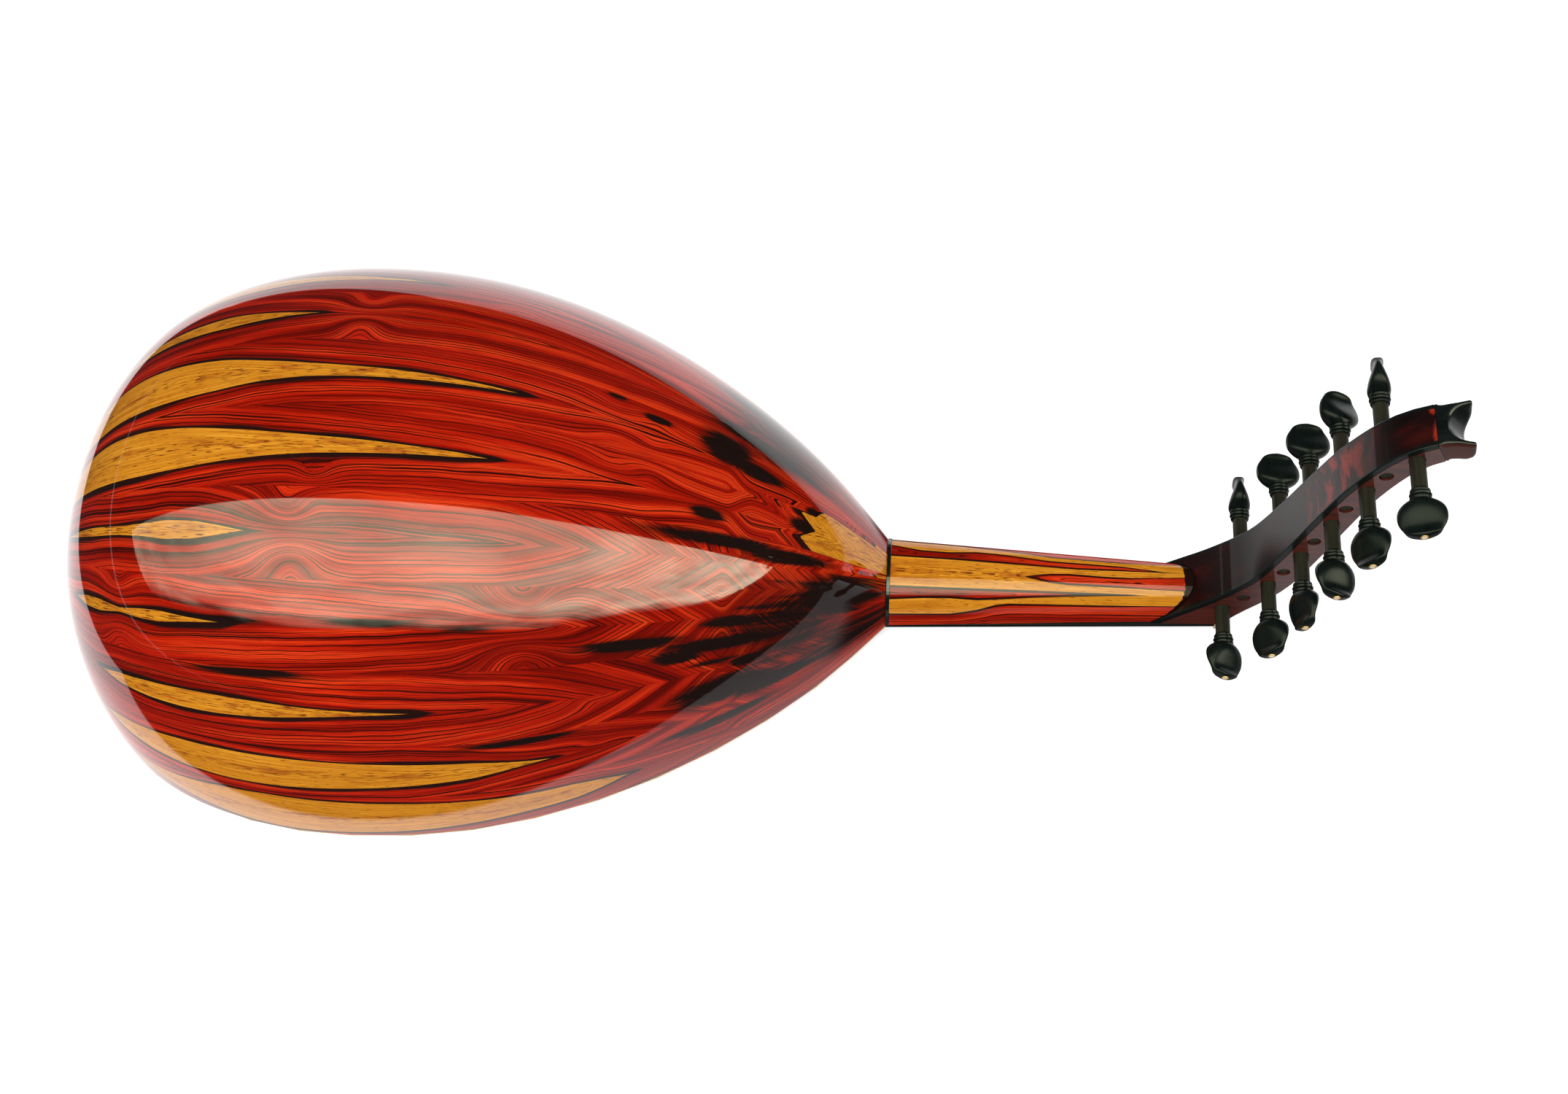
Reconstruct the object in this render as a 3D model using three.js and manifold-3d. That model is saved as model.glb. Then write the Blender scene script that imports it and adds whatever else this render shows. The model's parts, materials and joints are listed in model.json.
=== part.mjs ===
// A short-necked oud lying face down, as it is laid on a table to show its back.
// Millimetres. +X runs from the tail to the pegbox, +Y is across, +Z is away from the table.
// While it is modelled, x = 0 is where the neck meets the bowl, and z = 0 is the rim of the bowl,
// which the soundboard is glued to. The last lines set the whole oud down on the table.

import * as THREE from "three";
import { mergeVertices } from "three/addons/utils/BufferGeometryUtils.js";
import Module from "manifold-3d";

const wasm = await Module();
wasm.setup();

// Driving sizes of the whole instrument
const BODY_LENGTH = 490;
const BODY_HALF_WIDTH = 174;
const BOWL_DEPTH = 186;
const NECK_LENGTH = 195;
const NECK_HALF_WIDTH = 27;
const NUT_HALF_WIDTH = 17.7;
const NECK_DEPTH_AT_NUT = 24;
const PEGBOX_REACH = 104;
const PEGBOX_RISE = 197;

// Clearances, and the overrun of every cut
const SEAT_GAP = 0.3;
const RUN_GAP = 0.35;
const CUT_OVERRUN = 5;

// Bowl
const RIB_COUNT = 24;
const RIB_THICKNESS = 3;
const RIM_FULLNESS = 2.12;
const SEAM_SHIFT = 3;
const SEAM_SHIFT_POWER = 3;
const STEPS_PER_SPAN = 2;
const TAIL_DISC_RADIUS = 12;
const OUTLINE_LENGTH_SHARES = [0.08, 0.195, 0.328, 0.471, 0.612, 0.735, 0.86, 0.945, 0.985];
const OUTLINE_WIDTH_SHARES = [0.394, 0.641, 0.8385, 0.962, 1, 0.965, 0.822, 0.56, 0.3];
const NECK_BLOCK_STATIONS = 3;
const TAIL_BLOCK_STATIONS = 3;
const TAIL_CAP_STATIONS = 2;
const TAIL_CAP_THICKNESS = 1.5;

// Soundboard and what is glued to it
const SOUNDBOARD_THICKNESS = 2;
const MAIN_HOLE_RADIUS = 44;
const MAIN_HOLE_PLACE_SHARE = 0.4184;
const SIDE_HOLE_RADIUS = 19;
const SIDE_HOLE_Y = 66;
const HOLE_SIDES = 40;
const ROSETTE_LIP = 3.5;
const ROSETTE_THICKNESS = 1.5;
const FRET_BAR = 1.8;
const MAIN_FRET_COUNT = 12;
const SIDE_FRET_COUNT = 8;
const FRET_RING_SHARES = [0.3, 0.62, 0.93];
const GUARD_TO_BRIDGE = 26;
const GUARD_HALF_SPAN = 46;
const GUARD_HALF_HEIGHT = 27;
const GUARD_THICKNESS = 0.8;
const GUARD_STEPS = 10;
const BRACE_WIDTH = 6;
const BRACE_HEIGHT = 16;
const BRACE_END_HEIGHT = 5;
const BRACE_SCALLOP = 34;
const BRACE_RIM_CLEARANCE = 4;
const BRACE_TO_ROSETTE = 1;
const CLEAT_WIDTH = 14;
const CLEAT_HEIGHT = 2;
const UPPER_BRACE_SHARES = [0.56, 0.876];
const TAIL_BRACE_SHARES = [0.22, 0.55, 0.77];
const BRIDGE_FROM_TAIL = 100;
const BRIDGE_LENGTH = 122;
const BRIDGE_WING = 12;
const BRIDGE_BASE = 24;
const BRIDGE_TOP = 11;
const BRIDGE_HEIGHT = 8;
const BRIDGE_WING_HEIGHT = 3;
const BRIDGE_HOLE_SIDES = 8;

// Neck, fingerboard and nut
const FINGERBOARD_THICKNESS = 3;
const RING_WIDTH = 2.2;
const RING_STEP = 0.6;
const NECK_STATIONS = 6;
const NECK_ARC_STEPS = 20;
const NUT_WIDTH = 5;
const NUT_HEIGHT = 3;
const NUT_BEVEL = 1.2;

// Strings
const STRING_SIDES = 6;
const STRING_RADII = [0.62, 0.55, 0.5, 0.42, 0.38, 0.34];
const KNOT_RADIUS = 1.7;
const KNOT_LENGTH = 4;
const NUT_COURSE_PITCH = 4.6;
const NUT_PAIR_HALF = 0.95;
const BRIDGE_COURSE_PITCH = 14.6;
const BRIDGE_PAIR_HALF = 2.1;
const NUT_ACTION = 1.3;
const BRIDGE_ACTION = 5.4;
const LOOP_STAND_OFF = 1.6;
const NUT_BEND_RADIUS = 1.5;
const BEND_STEPS = 5;
const LANE_SHARE = 0.86;

// Pegbox: its middle line, as shares of its reach past the nut and of its rise behind the face
const PATH_REACH_SHARES = [-0.279, -0.135, 0.014, 0.216, 0.337, 0.438, 0.548, 0.702, 0.856, 1];
const PATH_RISE_SHARES = [-0.043, 0.033, 0.112, 0.254, 0.426, 0.609, 0.782, 0.924, 0.985, 1];
const PATH_STEPS = 30;
const BED_END_STEP = 8;
const NUT_ON_PATH_SHARE = 0.13;
const BOX_ROOT_HALF_DEPTH = 12.5;
const BOX_TIP_HALF_DEPTH = 8.5;
const BOX_ROOT_FLARE = 20;
const ROOT_FLARE_SHARE = 0.2;
const BOX_TIP_HALF_WIDTH = 11.8;
const BOX_WALL = 4.2;
const BACK_BOARD = 4;
const WALL_END_STEP = 28;
const HEEL_END_STEP = 4;
const FINIAL_HORN = 2.6;
const SCOOP_RADIUS = 11;
const SCOOP_REACH = 4;
const SCOOP_TILT = 32;
const SCOOP_SIDES = 20;

// Pegs
const PEG_COUNT = 11;
const FIRST_PEG_DISTANCE = 43;
const LAST_PEG_TO_FINIAL = 13.2;
const FAR_PEG_STEP_SHARE = 0.444;
const PEG_SIDES = 12;
const SHAFT_RADIUS = 4.2;
const SHAFT_TIP_RADIUS = 3.4;
const SHAFT_RECESS = 1.2;
const SHAFT_REACH = 17.6;
const COLLAR_LENGTH = 6.2;
const COLLAR_RADIUS = 5.9;
const COLLAR_GROOVE_RADIUS = 4.9;
const HEAD_LENGTH = 21.6;
const HEAD_HALF_WIDTH = 12.6;
const HEAD_HALF_THICKNESS = 6.2;
const HEAD_LENGTH_SHARES = [0, 0.06, 0.18, 0.4, 0.64, 0.83, 0.95, 1];
const HEAD_WIDTH_SHARES = [0.42, 0.62, 0.87, 1, 0.93, 0.74, 0.48, 0.26];
const HEAD_THICKNESS_SHARES = [0.8, 0.94, 1, 0.78, 0.45, 0.42, 0.58, 0.5];
const HEAD_TURNS = [36, 86, -54, 8, -72, 8, 30, 30, -54, 80, -22];

// Finishes
const finish = (color, roughness, metalness = 0) =>
  new THREE.MeshStandardMaterial({ color, roughness, metalness });
const COCOBOLO = finish(0xa31f0c, 0.18);
const COCOBOLO_DARK = finish(0x3a0d0a, 0.18);
const EBONY = finish(0x0c0c0d, 0.3);
const ROSEWOOD = finish(0x3b2418, 0.5);
const SPRUCE = finish(0xd9b77c, 0.45);
const BONE = finish(0xe9e0c8, 0.4);
const NYLON = finish(0xe6e2d8, 0.3);
const WOUND = finish(0xb9a58a, 0.35, 0.8);

const oud = new THREE.Group();

// Heights that several pieces share
const FACE_Z = -SOUNDBOARD_THICKNESS;
const NECK_SEAT_Z = FACE_Z + FINGERBOARD_THICKNESS;
const TABLE_Z = FACE_Z - BRIDGE_HEIGHT;
const NUT_STRING_Z = FACE_Z - NUT_ACTION;
const BRIDGE_STRING_Z = FACE_Z - BRIDGE_ACTION;
const DEPTH_RATIO = BOWL_DEPTH / BODY_HALF_WIDTH;

// Places along the face. A brace passes close by each side of the small rosettes.
const BRIDGE_X = BRIDGE_FROM_TAIL - BODY_LENGTH;
const GUARD_X = BRIDGE_X + BRIDGE_BASE / 2 + GUARD_TO_BRIDGE + GUARD_HALF_HEIGHT;
const BRACE_TO_HOLE = BRACE_WIDTH / 2 + BRACE_TO_ROSETTE + ROSETTE_LIP;
const MAIN_HOLE_X = -MAIN_HOLE_PLACE_SHARE * BODY_LENGTH;
const MIDDLE_BRACE_X = MAIN_HOLE_X - MAIN_HOLE_RADIUS - BRACE_TO_HOLE;
const SIDE_HOLE_X = MIDDLE_BRACE_X - BRACE_TO_HOLE - SIDE_HOLE_RADIUS;
const SECOND_BRACE_X = SIDE_HOLE_X - SIDE_HOLE_RADIUS - BRACE_TO_HOLE;
const ROSETTE_EDGE_X = MAIN_HOLE_X + MAIN_HOLE_RADIUS + ROSETTE_LIP;
const UPPER_BRACE_X = UPPER_BRACE_SHARES.map((share) => share * ROSETTE_EDGE_X);
const TAIL_BRACE_X = TAIL_BRACE_SHARES.map((share) =>
  THREE.MathUtils.lerp(SECOND_BRACE_X, -BODY_LENGTH, share));

function addPiece(name, geometry, material) {
  const mesh = new THREE.Mesh(geometry, material);
  mesh.name = name;
  oud.add(mesh);
  return mesh;
}

// Corners that coincide become one, and faces that then have no area are dropped
function weld(positions, faces) {
  const loose = new THREE.BufferGeometry();
  loose.setAttribute("position", new THREE.Float32BufferAttribute(positions, 3));
  loose.setIndex(faces);
  const joined = mergeVertices(loose);
  const index = Array.from(joined.index.array);
  const kept = [];
  for (let i = 0; i < index.length; i += 3) {
    const [a, b, c] = index.slice(i, i + 3);
    if (a !== b && b !== c && c !== a) kept.push(a, b, c);
  }
  joined.setIndex(kept);
  return facingOut(joined);
}

function signedVolume(geometry) {
  const position = geometry.attributes.position;
  const index = geometry.index.array;
  const [a, b, c] = [new THREE.Vector3(), new THREE.Vector3(), new THREE.Vector3()];
  let sum = 0;
  for (let i = 0; i < index.length; i += 3) {
    a.fromBufferAttribute(position, index[i]);
    b.fromBufferAttribute(position, index[i + 1]);
    c.fromBufferAttribute(position, index[i + 2]);
    sum += a.dot(b.cross(c));
  }
  return sum;
}

function facingOut(geometry) {
  if (signedVolume(geometry) < 0) geometry.setIndex(Array.from(geometry.index.array).reverse());
  return geometry;
}

// A ring of corners in one plane, filled with triangles
function fillRing(ring) {
  const origin = ring[0];
  const normal = new THREE.Vector3();
  for (let i = 1; i + 1 < ring.length; i++) {
    const one = ring[i].clone().sub(origin);
    normal.add(one.cross(ring[i + 1].clone().sub(origin)));
  }
  normal.normalize();
  const across = ring.map((p) => p.clone().sub(origin)).find((p) => p.lengthSq() > 0).normalize();
  const up = normal.clone().cross(across);
  const flat = ring.map((p) => {
    const step = p.clone().sub(origin);
    return new THREE.Vector2(step.dot(across), step.dot(up));
  });
  return THREE.ShapeUtils.triangulateShape(flat, []);
}

// A closed skin over rings of corners, each ring with the same number of them
function loft(rings) {
  const size = rings[0].length;
  const positions = rings.flat().flatMap((p) => [p.x, p.y, p.z]);
  const faces = [];
  for (let i = 0; i + 1 < rings.length; i++) {
    for (let j = 0; j < size; j++) {
      const next = (j + 1) % size;
      const [a, b] = [i * size + j, i * size + next];
      const [c, d] = [a + size, b + size];
      faces.push(a, b, d, a, d, c);
    }
  }
  const last = (rings.length - 1) * size;
  for (const [a, b, c] of fillRing(rings[0])) faces.push(c, b, a);
  for (const [a, b, c] of fillRing(rings[rings.length - 1])) faces.push(last + a, last + b, last + c);
  return weld(positions, faces);
}

function toSolid(geometry) {
  const bare = geometry.clone();
  bare.deleteAttribute("normal");
  bare.deleteAttribute("uv");
  const joined = mergeVertices(bare);
  const vertProperties = new Float32Array(joined.attributes.position.array);
  const triVerts = new Uint32Array(joined.index.array);
  return new wasm.Manifold(new wasm.Mesh({ numProp: 3, vertProperties, triVerts }));
}

function fromSolid(solid) {
  const mesh = solid.getMesh();
  const geometry = new THREE.BufferGeometry();
  geometry.setAttribute("position", new THREE.BufferAttribute(new Float32Array(mesh.vertProperties), 3));
  geometry.setIndex(new THREE.BufferAttribute(new Uint32Array(mesh.triVerts), 1));
  return geometry;
}

function cut(geometry, cutters) {
  let solid = toSolid(geometry);
  for (const cutter of cutters) solid = solid.subtract(toSolid(cutter));
  return fromSolid(solid);
}

function join(geometries) {
  return fromSolid(geometries.map(toSolid).reduce((sum, solid) => sum.add(solid)));
}

// A flat outline in x and y, raised from z = low to z = high
function slab(outline, low, high, holes = []) {
  const shape = new THREE.Shape(outline);
  shape.holes = holes.map((hole) => new THREE.Path(hole));
  const geometry = new THREE.ExtrudeGeometry(shape, { depth: high - low, bevelEnabled: false });
  return geometry.translate(0, 0, low);
}

// An outline in x and z, spread to both sides of y = 0
function sideSlab(outline, halfWidth) {
  const ring = (y) => outline.map(([x, z]) => new THREE.Vector3(x, y, z));
  return loft([ring(-halfWidth), ring(halfWidth)]);
}

function circle(x, y, radius, sides, turn = 0) {
  const points = [];
  for (let i = 0; i < sides; i++) {
    const angle = turn + (2 * Math.PI * i) / sides;
    points.push(new THREE.Vector2(x + radius * Math.cos(angle), y + radius * Math.sin(angle)));
  }
  return points;
}

// Bowl: one outline, turned about the middle line and a little deeper than it is wide.
// Each station holds the rim point, and the same point one rib thickness further in.
function outlineStations() {
  const at = (x, y) => new THREE.Vector3(x, y, 0);
  const points = [at(0, NECK_HALF_WIDTH)];
  OUTLINE_LENGTH_SHARES.forEach((share, i) => {
    points.push(at(-share * BODY_LENGTH, OUTLINE_WIDTH_SHARES[i] * BODY_HALF_WIDTH));
  });
  points.push(at(-BODY_LENGTH, TAIL_DISC_RADIUS));
  const curve = new THREE.CatmullRomCurve3(points, false, "centripetal");
  const count = (points.length - 1) * STEPS_PER_SPAN;
  const stations = [];
  for (let i = 0; i <= count; i++) {
    const rim = curve.getPoint(i / count);
    const run = curve.getTangent(i / count);
    const out = i === count ? new THREE.Vector2(-1, 0) : new THREE.Vector2(run.y, -run.x);
    stations.push({ x: rim.x, half: rim.y, out });
  }
  return stations;
}

const STATIONS = outlineStations();
const LAST = STATIONS.length - 1;

// The ribs of the near flank are a little wider, which moves the seams below them
function seamAngle(seam) {
  const turn = seam / RIB_COUNT;
  const shift = THREE.MathUtils.degToRad(SEAM_SHIFT) * Math.sin(Math.PI * turn ** SEAM_SHIFT_POWER) ** 2;
  return Math.PI * turn + shift;
}

// A point of the bowl at a station and a seam, moved out of the wood by offset
function bowlPoint(station, seam, offset = 0) {
  const angle = seamAngle(seam);
  const [c, s] = [Math.cos(angle), Math.sin(angle)];
  const fullness = (Math.abs(c) ** RIM_FULLNESS + Math.abs(s) ** RIM_FULLNESS) ** (-1 / RIM_FULLNESS);
  const reach = fullness * (station.half + offset * station.out.y);
  const rise = seam % RIB_COUNT === 0 ? 0 : DEPTH_RATIO * reach * s;
  return new THREE.Vector3(station.x + offset * station.out.x, reach * c, rise);
}

function makeRibs() {
  for (let rib = 0; rib < RIB_COUNT; rib++) {
    const rings = STATIONS.map((station) => [
      bowlPoint(station, rib),
      bowlPoint(station, rib + 1),
      bowlPoint(station, rib + 1, -RIB_THICKNESS),
      bowlPoint(station, rib, -RIB_THICKNESS),
    ]);
    addPiece(`rib_${String(rib + 1).padStart(2, "0")}`, loft(rings), COCOBOLO);
  }
}

// All the seams of one station, from the near side round the back to the far side
function bowlRing(station, offset = 0) {
  const ring = [];
  for (let seam = RIB_COUNT; seam >= 0; seam--) ring.push(bowlPoint(station, seam, offset));
  return ring;
}

// The blocks fill both ends of the bowl. The ribs' ends are glued on their slanted edges.
function makeBlocks() {
  const neckEnd = [bowlRing(STATIONS[0])];
  for (let i = 0; i <= NECK_BLOCK_STATIONS; i++) neckEnd.push(bowlRing(STATIONS[i], -RIB_THICKNESS));
  addPiece("neck_block", loft(neckEnd), SPRUCE);
  const tailEnd = [bowlRing(STATIONS[LAST])];
  for (let i = 0; i <= TAIL_BLOCK_STATIONS; i++) tailEnd.push(bowlRing(STATIONS[LAST - i], -RIB_THICKNESS));
  addPiece("tail_block", loft(tailEnd), SPRUCE);
}

// A thin clasp over the tips of the ribs
function makeTailCap() {
  const rings = [];
  const covered = STATIONS.slice(LAST - TAIL_CAP_STATIONS).reverse();
  for (let seam = 0; seam <= RIB_COUNT; seam++) {
    const inner = covered.map((station) => bowlPoint(station, seam));
    const outer = covered.map((station) => bowlPoint(station, seam, TAIL_CAP_THICKNESS));
    const innerTip = new THREE.Vector3(-BODY_LENGTH, 0, 0);
    const outerTip = new THREE.Vector3(-BODY_LENGTH - TAIL_CAP_THICKNESS, 0, 0);
    rings.push([innerTip, ...inner, ...outer.reverse(), outerTip]);
  }
  addPiece("tail_cap", loft(rings), EBONY);
}

function soundboardOutline() {
  const far = STATIONS.map((s) => new THREE.Vector2(s.x, s.half));
  const near = STATIONS.map((s) => new THREE.Vector2(s.x, -s.half)).reverse();
  return [...far, ...near];
}

// Half the bowl's inner width at x, on the rim
function innerHalfWidth(x) {
  const inner = STATIONS.map((station) => bowlPoint(station, 0, -RIB_THICKNESS));
  const after = inner.findIndex((p) => p.x <= x);
  const [one, two] = [inner[after - 1], inner[after]];
  return THREE.MathUtils.mapLinear(x, one.x, two.x, one.y, two.y);
}

function makeSoundboard() {
  const holes = [
    circle(MAIN_HOLE_X, 0, MAIN_HOLE_RADIUS, HOLE_SIDES),
    circle(SIDE_HOLE_X, SIDE_HOLE_Y, SIDE_HOLE_RADIUS, HOLE_SIDES),
    circle(SIDE_HOLE_X, -SIDE_HOLE_Y, SIDE_HOLE_RADIUS, HOLE_SIDES),
  ];
  addPiece("soundboard", slab(soundboardOutline(), FACE_Z, 0, holes), SPRUCE);
}

// A fretted disc glued behind its hole: a wheel of bars between rings
function makeRosette(name, x, y, holeRadius, count) {
  const openings = [];
  const halfBar = FRET_BAR / 2;
  for (let ring = 0; ring + 1 < FRET_RING_SHARES.length; ring++) {
    const inner = FRET_RING_SHARES[ring] * holeRadius + halfBar;
    const outer = FRET_RING_SHARES[ring + 1] * holeRadius - halfBar;
    const middle = (inner + outer) / 2;
    for (let i = 0; i < count; i++) {
      const angle = (2 * Math.PI * (i + ring / 2)) / count;
      const spread = Math.PI / count - halfBar / middle;
      const at = (radius, turn) =>
        new THREE.Vector2(x + radius * Math.cos(angle + turn), y + radius * Math.sin(angle + turn));
      openings.push([at(inner, 0), at(middle, spread), at(outer, 0), at(middle, -spread)]);
    }
  }
  const hub = FRET_RING_SHARES[0] * holeRadius - halfBar;
  openings.push(circle(x, y, hub / 2, count));
  const outline = circle(x, y, holeRadius + ROSETTE_LIP, HOLE_SIDES);
  addPiece(name, slab(outline, 0, ROSETTE_THICKNESS, openings), ROSEWOOD);
}

function makeRosettes() {
  makeRosette("rosette_main", MAIN_HOLE_X, 0, MAIN_HOLE_RADIUS, MAIN_FRET_COUNT);
  makeRosette("rosette_far", SIDE_HOLE_X, SIDE_HOLE_Y, SIDE_HOLE_RADIUS, SIDE_FRET_COUNT);
  makeRosette("rosette_near", SIDE_HOLE_X, -SIDE_HOLE_Y, SIDE_HOLE_RADIUS, SIDE_FRET_COUNT);
}

// A leaf of thin veneer where the plectrum would wear the soundboard
function makePickguard() {
  const outline = [];
  for (let i = 0; i < 2 * GUARD_STEPS; i++) {
    const angle = (Math.PI * i) / GUARD_STEPS;
    const swell = GUARD_HALF_HEIGHT * Math.sin(angle) * Math.abs(Math.sin(angle));
    outline.push(new THREE.Vector2(GUARD_X + swell, GUARD_HALF_SPAN * Math.cos(angle)));
  }
  addPiece("pickguard", slab(outline, FACE_Z - GUARD_THICKNESS, FACE_Z), EBONY);
}

// A bar across the soundboard, lower at its ends
function braceBar(x) {
  const [start, end] = [x - BRACE_WIDTH / 2, x + BRACE_WIDTH / 2];
  const half = Math.min(innerHalfWidth(start), innerHalfWidth(end)) - BRACE_RIM_CLEARANCE;
  const flat = half - BRACE_SCALLOP;
  const ring = (along) => [
    new THREE.Vector3(along, -half, 0),
    new THREE.Vector3(along, half, 0),
    new THREE.Vector3(along, half, BRACE_END_HEIGHT),
    new THREE.Vector3(along, flat, BRACE_HEIGHT),
    new THREE.Vector3(along, -flat, BRACE_HEIGHT),
    new THREE.Vector3(along, -half, BRACE_END_HEIGHT),
  ];
  return loft([ring(start), ring(end)]);
}

// The bars of one field of the soundboard, tied by a flat cleat along its middle seam
function makeBraces(name, places) {
  const cleat = [
    new THREE.Vector2(places[0], -CLEAT_WIDTH / 2),
    new THREE.Vector2(places[0], CLEAT_WIDTH / 2),
    new THREE.Vector2(places[places.length - 1], CLEAT_WIDTH / 2),
    new THREE.Vector2(places[places.length - 1], -CLEAT_WIDTH / 2),
  ];
  addPiece(name, join([slab(cleat, 0, CLEAT_HEIGHT), ...places.map(braceBar)]), SPRUCE);
}

// Strings: a single bass, then five pairs. Each pair is one length, doubled behind the bridge.
function stringTable() {
  const strings = [];
  STRING_RADII.forEach((radius, course) => {
    const place = course - (STRING_RADII.length - 1) / 2;
    const sides = course === 0 ? [0] : [-1, 1];
    for (const side of sides) {
      const nutY = place * NUT_COURSE_PITCH + side * NUT_PAIR_HALF;
      const bridgeY = place * BRIDGE_COURSE_PITCH + side * BRIDGE_PAIR_HALF;
      strings.push({ course, radius, nutY, bridgeY });
    }
  });
  return strings;
}

// The outermost strings go to the pegs nearest the nut, and the middle ones to the last
function stringOfPeg(peg, strings) {
  return peg % 2 === 0 ? strings[peg / 2] : strings[strings.length - (peg + 1) / 2];
}

function boxAt(x, y, z, width, height, depth) {
  return new THREE.BoxGeometry(width, height, depth).translate(x, y, z);
}

// A rod along X, for the string holes of the bridge
function rodAlongX(x, y, z, radius, length, sides) {
  const rod = new THREE.CylinderGeometry(radius, radius, length, sides);
  return rod.rotateZ(Math.PI / 2).translate(x, y, z);
}

function makeBridge(strings) {
  const ring = (y, height) => {
    const topHalf = BRIDGE_TOP / 2;
    const baseHalf = BRIDGE_BASE / 2;
    const shoulder = THREE.MathUtils.lerp(baseHalf, topHalf, height / BRIDGE_HEIGHT);
    return [
      new THREE.Vector3(BRIDGE_X - baseHalf, y, FACE_Z),
      new THREE.Vector3(BRIDGE_X + baseHalf, y, FACE_Z),
      new THREE.Vector3(BRIDGE_X + shoulder, y, FACE_Z - height),
      new THREE.Vector3(BRIDGE_X - shoulder, y, FACE_Z - height),
    ];
  };
  const half = BRIDGE_LENGTH / 2;
  const body = loft([
    ring(-half, BRIDGE_WING_HEIGHT),
    ring(-half + BRIDGE_WING, BRIDGE_HEIGHT),
    ring(half - BRIDGE_WING, BRIDGE_HEIGHT),
    ring(half, BRIDGE_WING_HEIGHT),
  ]);
  const holeLength = BRIDGE_BASE + CUT_OVERRUN;
  const holes = strings.map(({ radius, bridgeY }) =>
    rodAlongX(BRIDGE_X, bridgeY, BRIDGE_STRING_Z, radius + RUN_GAP, holeLength, BRIDGE_HOLE_SIDES));
  addPiece("bridge", cut(body, holes), ROSEWOOD);
}

// Neck: a half-round bar on the fingerboard, narrowing to the nut
function neckHalfWidth(x) {
  return THREE.MathUtils.mapLinear(x, 0, NECK_LENGTH, NECK_HALF_WIDTH, NUT_HALF_WIDTH);
}

function neckDepth(x) {
  return THREE.MathUtils.mapLinear(x, 0, NECK_LENGTH, DEPTH_RATIO * NECK_HALF_WIDTH, NECK_DEPTH_AT_NUT);
}

function neckRing(x, grown = 0) {
  const ring = [];
  const half = neckHalfWidth(x) + grown;
  const rise = neckDepth(x) - NECK_SEAT_Z + grown;
  for (let i = 0; i <= NECK_ARC_STEPS; i++) {
    const angle = (Math.PI * i) / NECK_ARC_STEPS;
    const [c, s] = [Math.cos(angle), Math.sin(angle)];
    const fullness = (Math.abs(c) ** RIM_FULLNESS + Math.abs(s) ** RIM_FULLNESS) ** (-1 / RIM_FULLNESS);
    const up = i === NECK_ARC_STEPS ? 0 : rise * fullness * s;
    ring.push(new THREE.Vector3(x, half * fullness * c, NECK_SEAT_Z + up));
  }
  return ring;
}

function makeNeck() {
  const rings = [];
  for (let i = 0; i <= NECK_STATIONS; i++) {
    rings.push(neckRing(THREE.MathUtils.lerp(RING_WIDTH, NECK_LENGTH, i / NECK_STATIONS)));
  }
  addPiece("neck", cut(loft(rings), [pegboxBed()]), COCOBOLO);
  addPiece("neck_ring", loft([neckRing(0, RING_STEP), neckRing(RING_WIDTH, RING_STEP)]), EBONY);
}

function makeFingerboard() {
  const outline = [
    new THREE.Vector2(0, -NECK_HALF_WIDTH),
    new THREE.Vector2(NECK_LENGTH, -NUT_HALF_WIDTH),
    new THREE.Vector2(NECK_LENGTH, NUT_HALF_WIDTH),
    new THREE.Vector2(0, NECK_HALF_WIDTH),
  ];
  addPiece("fingerboard", slab(outline, FACE_Z, NECK_SEAT_Z), EBONY);
}

function makeNut(strings) {
  const [start, end] = [NECK_LENGTH, NECK_LENGTH + NUT_WIDTH];
  const top = FACE_Z - NUT_HEIGHT;
  const profile = [
    [start, NECK_SEAT_Z],
    [end, NECK_SEAT_Z],
    [end, top + NUT_BEVEL],
    [end - NUT_BEVEL, top],
    [start, top],
  ];
  const slots = strings.map(({ radius, nutY }) => {
    const floor = NUT_STRING_Z + radius + RUN_GAP;
    const ceiling = top - CUT_OVERRUN;
    const middle = (start + end) / 2;
    const width = 2 * (radius + RUN_GAP);
    return boxAt(middle, nutY, (floor + ceiling) / 2, NUT_WIDTH + CUT_OVERRUN, width, floor - ceiling);
  });
  addPiece("nut", cut(sideSlab(profile, NUT_HALF_WIDTH), slots), BONE);
}

// Pegbox: everything follows its S-shaped middle line in the plane y = 0
function pegboxPath() {
  const points = PATH_REACH_SHARES.map((share, i) =>
    new THREE.Vector3(NECK_LENGTH + share * PEGBOX_REACH, 0, PATH_RISE_SHARES[i] * PEGBOX_RISE));
  return new THREE.CatmullRomCurve3(points, false, "centripetal");
}

const PATH = pegboxPath();
const PATH_LENGTH = PATH.getLength();

// The point at a share of the middle line, and the direction that points out of the back there
function pathFrame(share) {
  const point = PATH.getPointAt(share);
  const run = PATH.getTangentAt(share);
  return { point, back: new THREE.Vector3(-run.z, 0, run.x), run };
}

function boxHalfWidth(share) {
  return THREE.MathUtils.mapLinear(share, NUT_ON_PATH_SHARE, 1, NUT_HALF_WIDTH, BOX_TIP_HALF_WIDTH);
}

function boxHalfDepth(share) {
  return THREE.MathUtils.lerp(BOX_ROOT_HALF_DEPTH, BOX_TIP_HALF_DEPTH, share);
}

// The open front stands further out at the root, where the box meets the nut
function boxFrontDepth(share) {
  const root = Math.max(0, 1 - share / ROOT_FLARE_SHARE);
  return boxHalfDepth(share) + BOX_ROOT_FLARE * root ** 2;
}

// A four-cornered section of the pegbox between two depths and two widths
function boxSection(share, backDepth, frontDepth, leftY, rightY) {
  const { point, back } = pathFrame(share);
  const corner = (depth, y) => point.clone().addScaledVector(back, depth).setY(y);
  const behind = [corner(backDepth, leftY), corner(backDepth, rightY)];
  return [...behind, corner(-frontDepth, rightY), corner(-frontDepth, leftY)];
}

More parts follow.
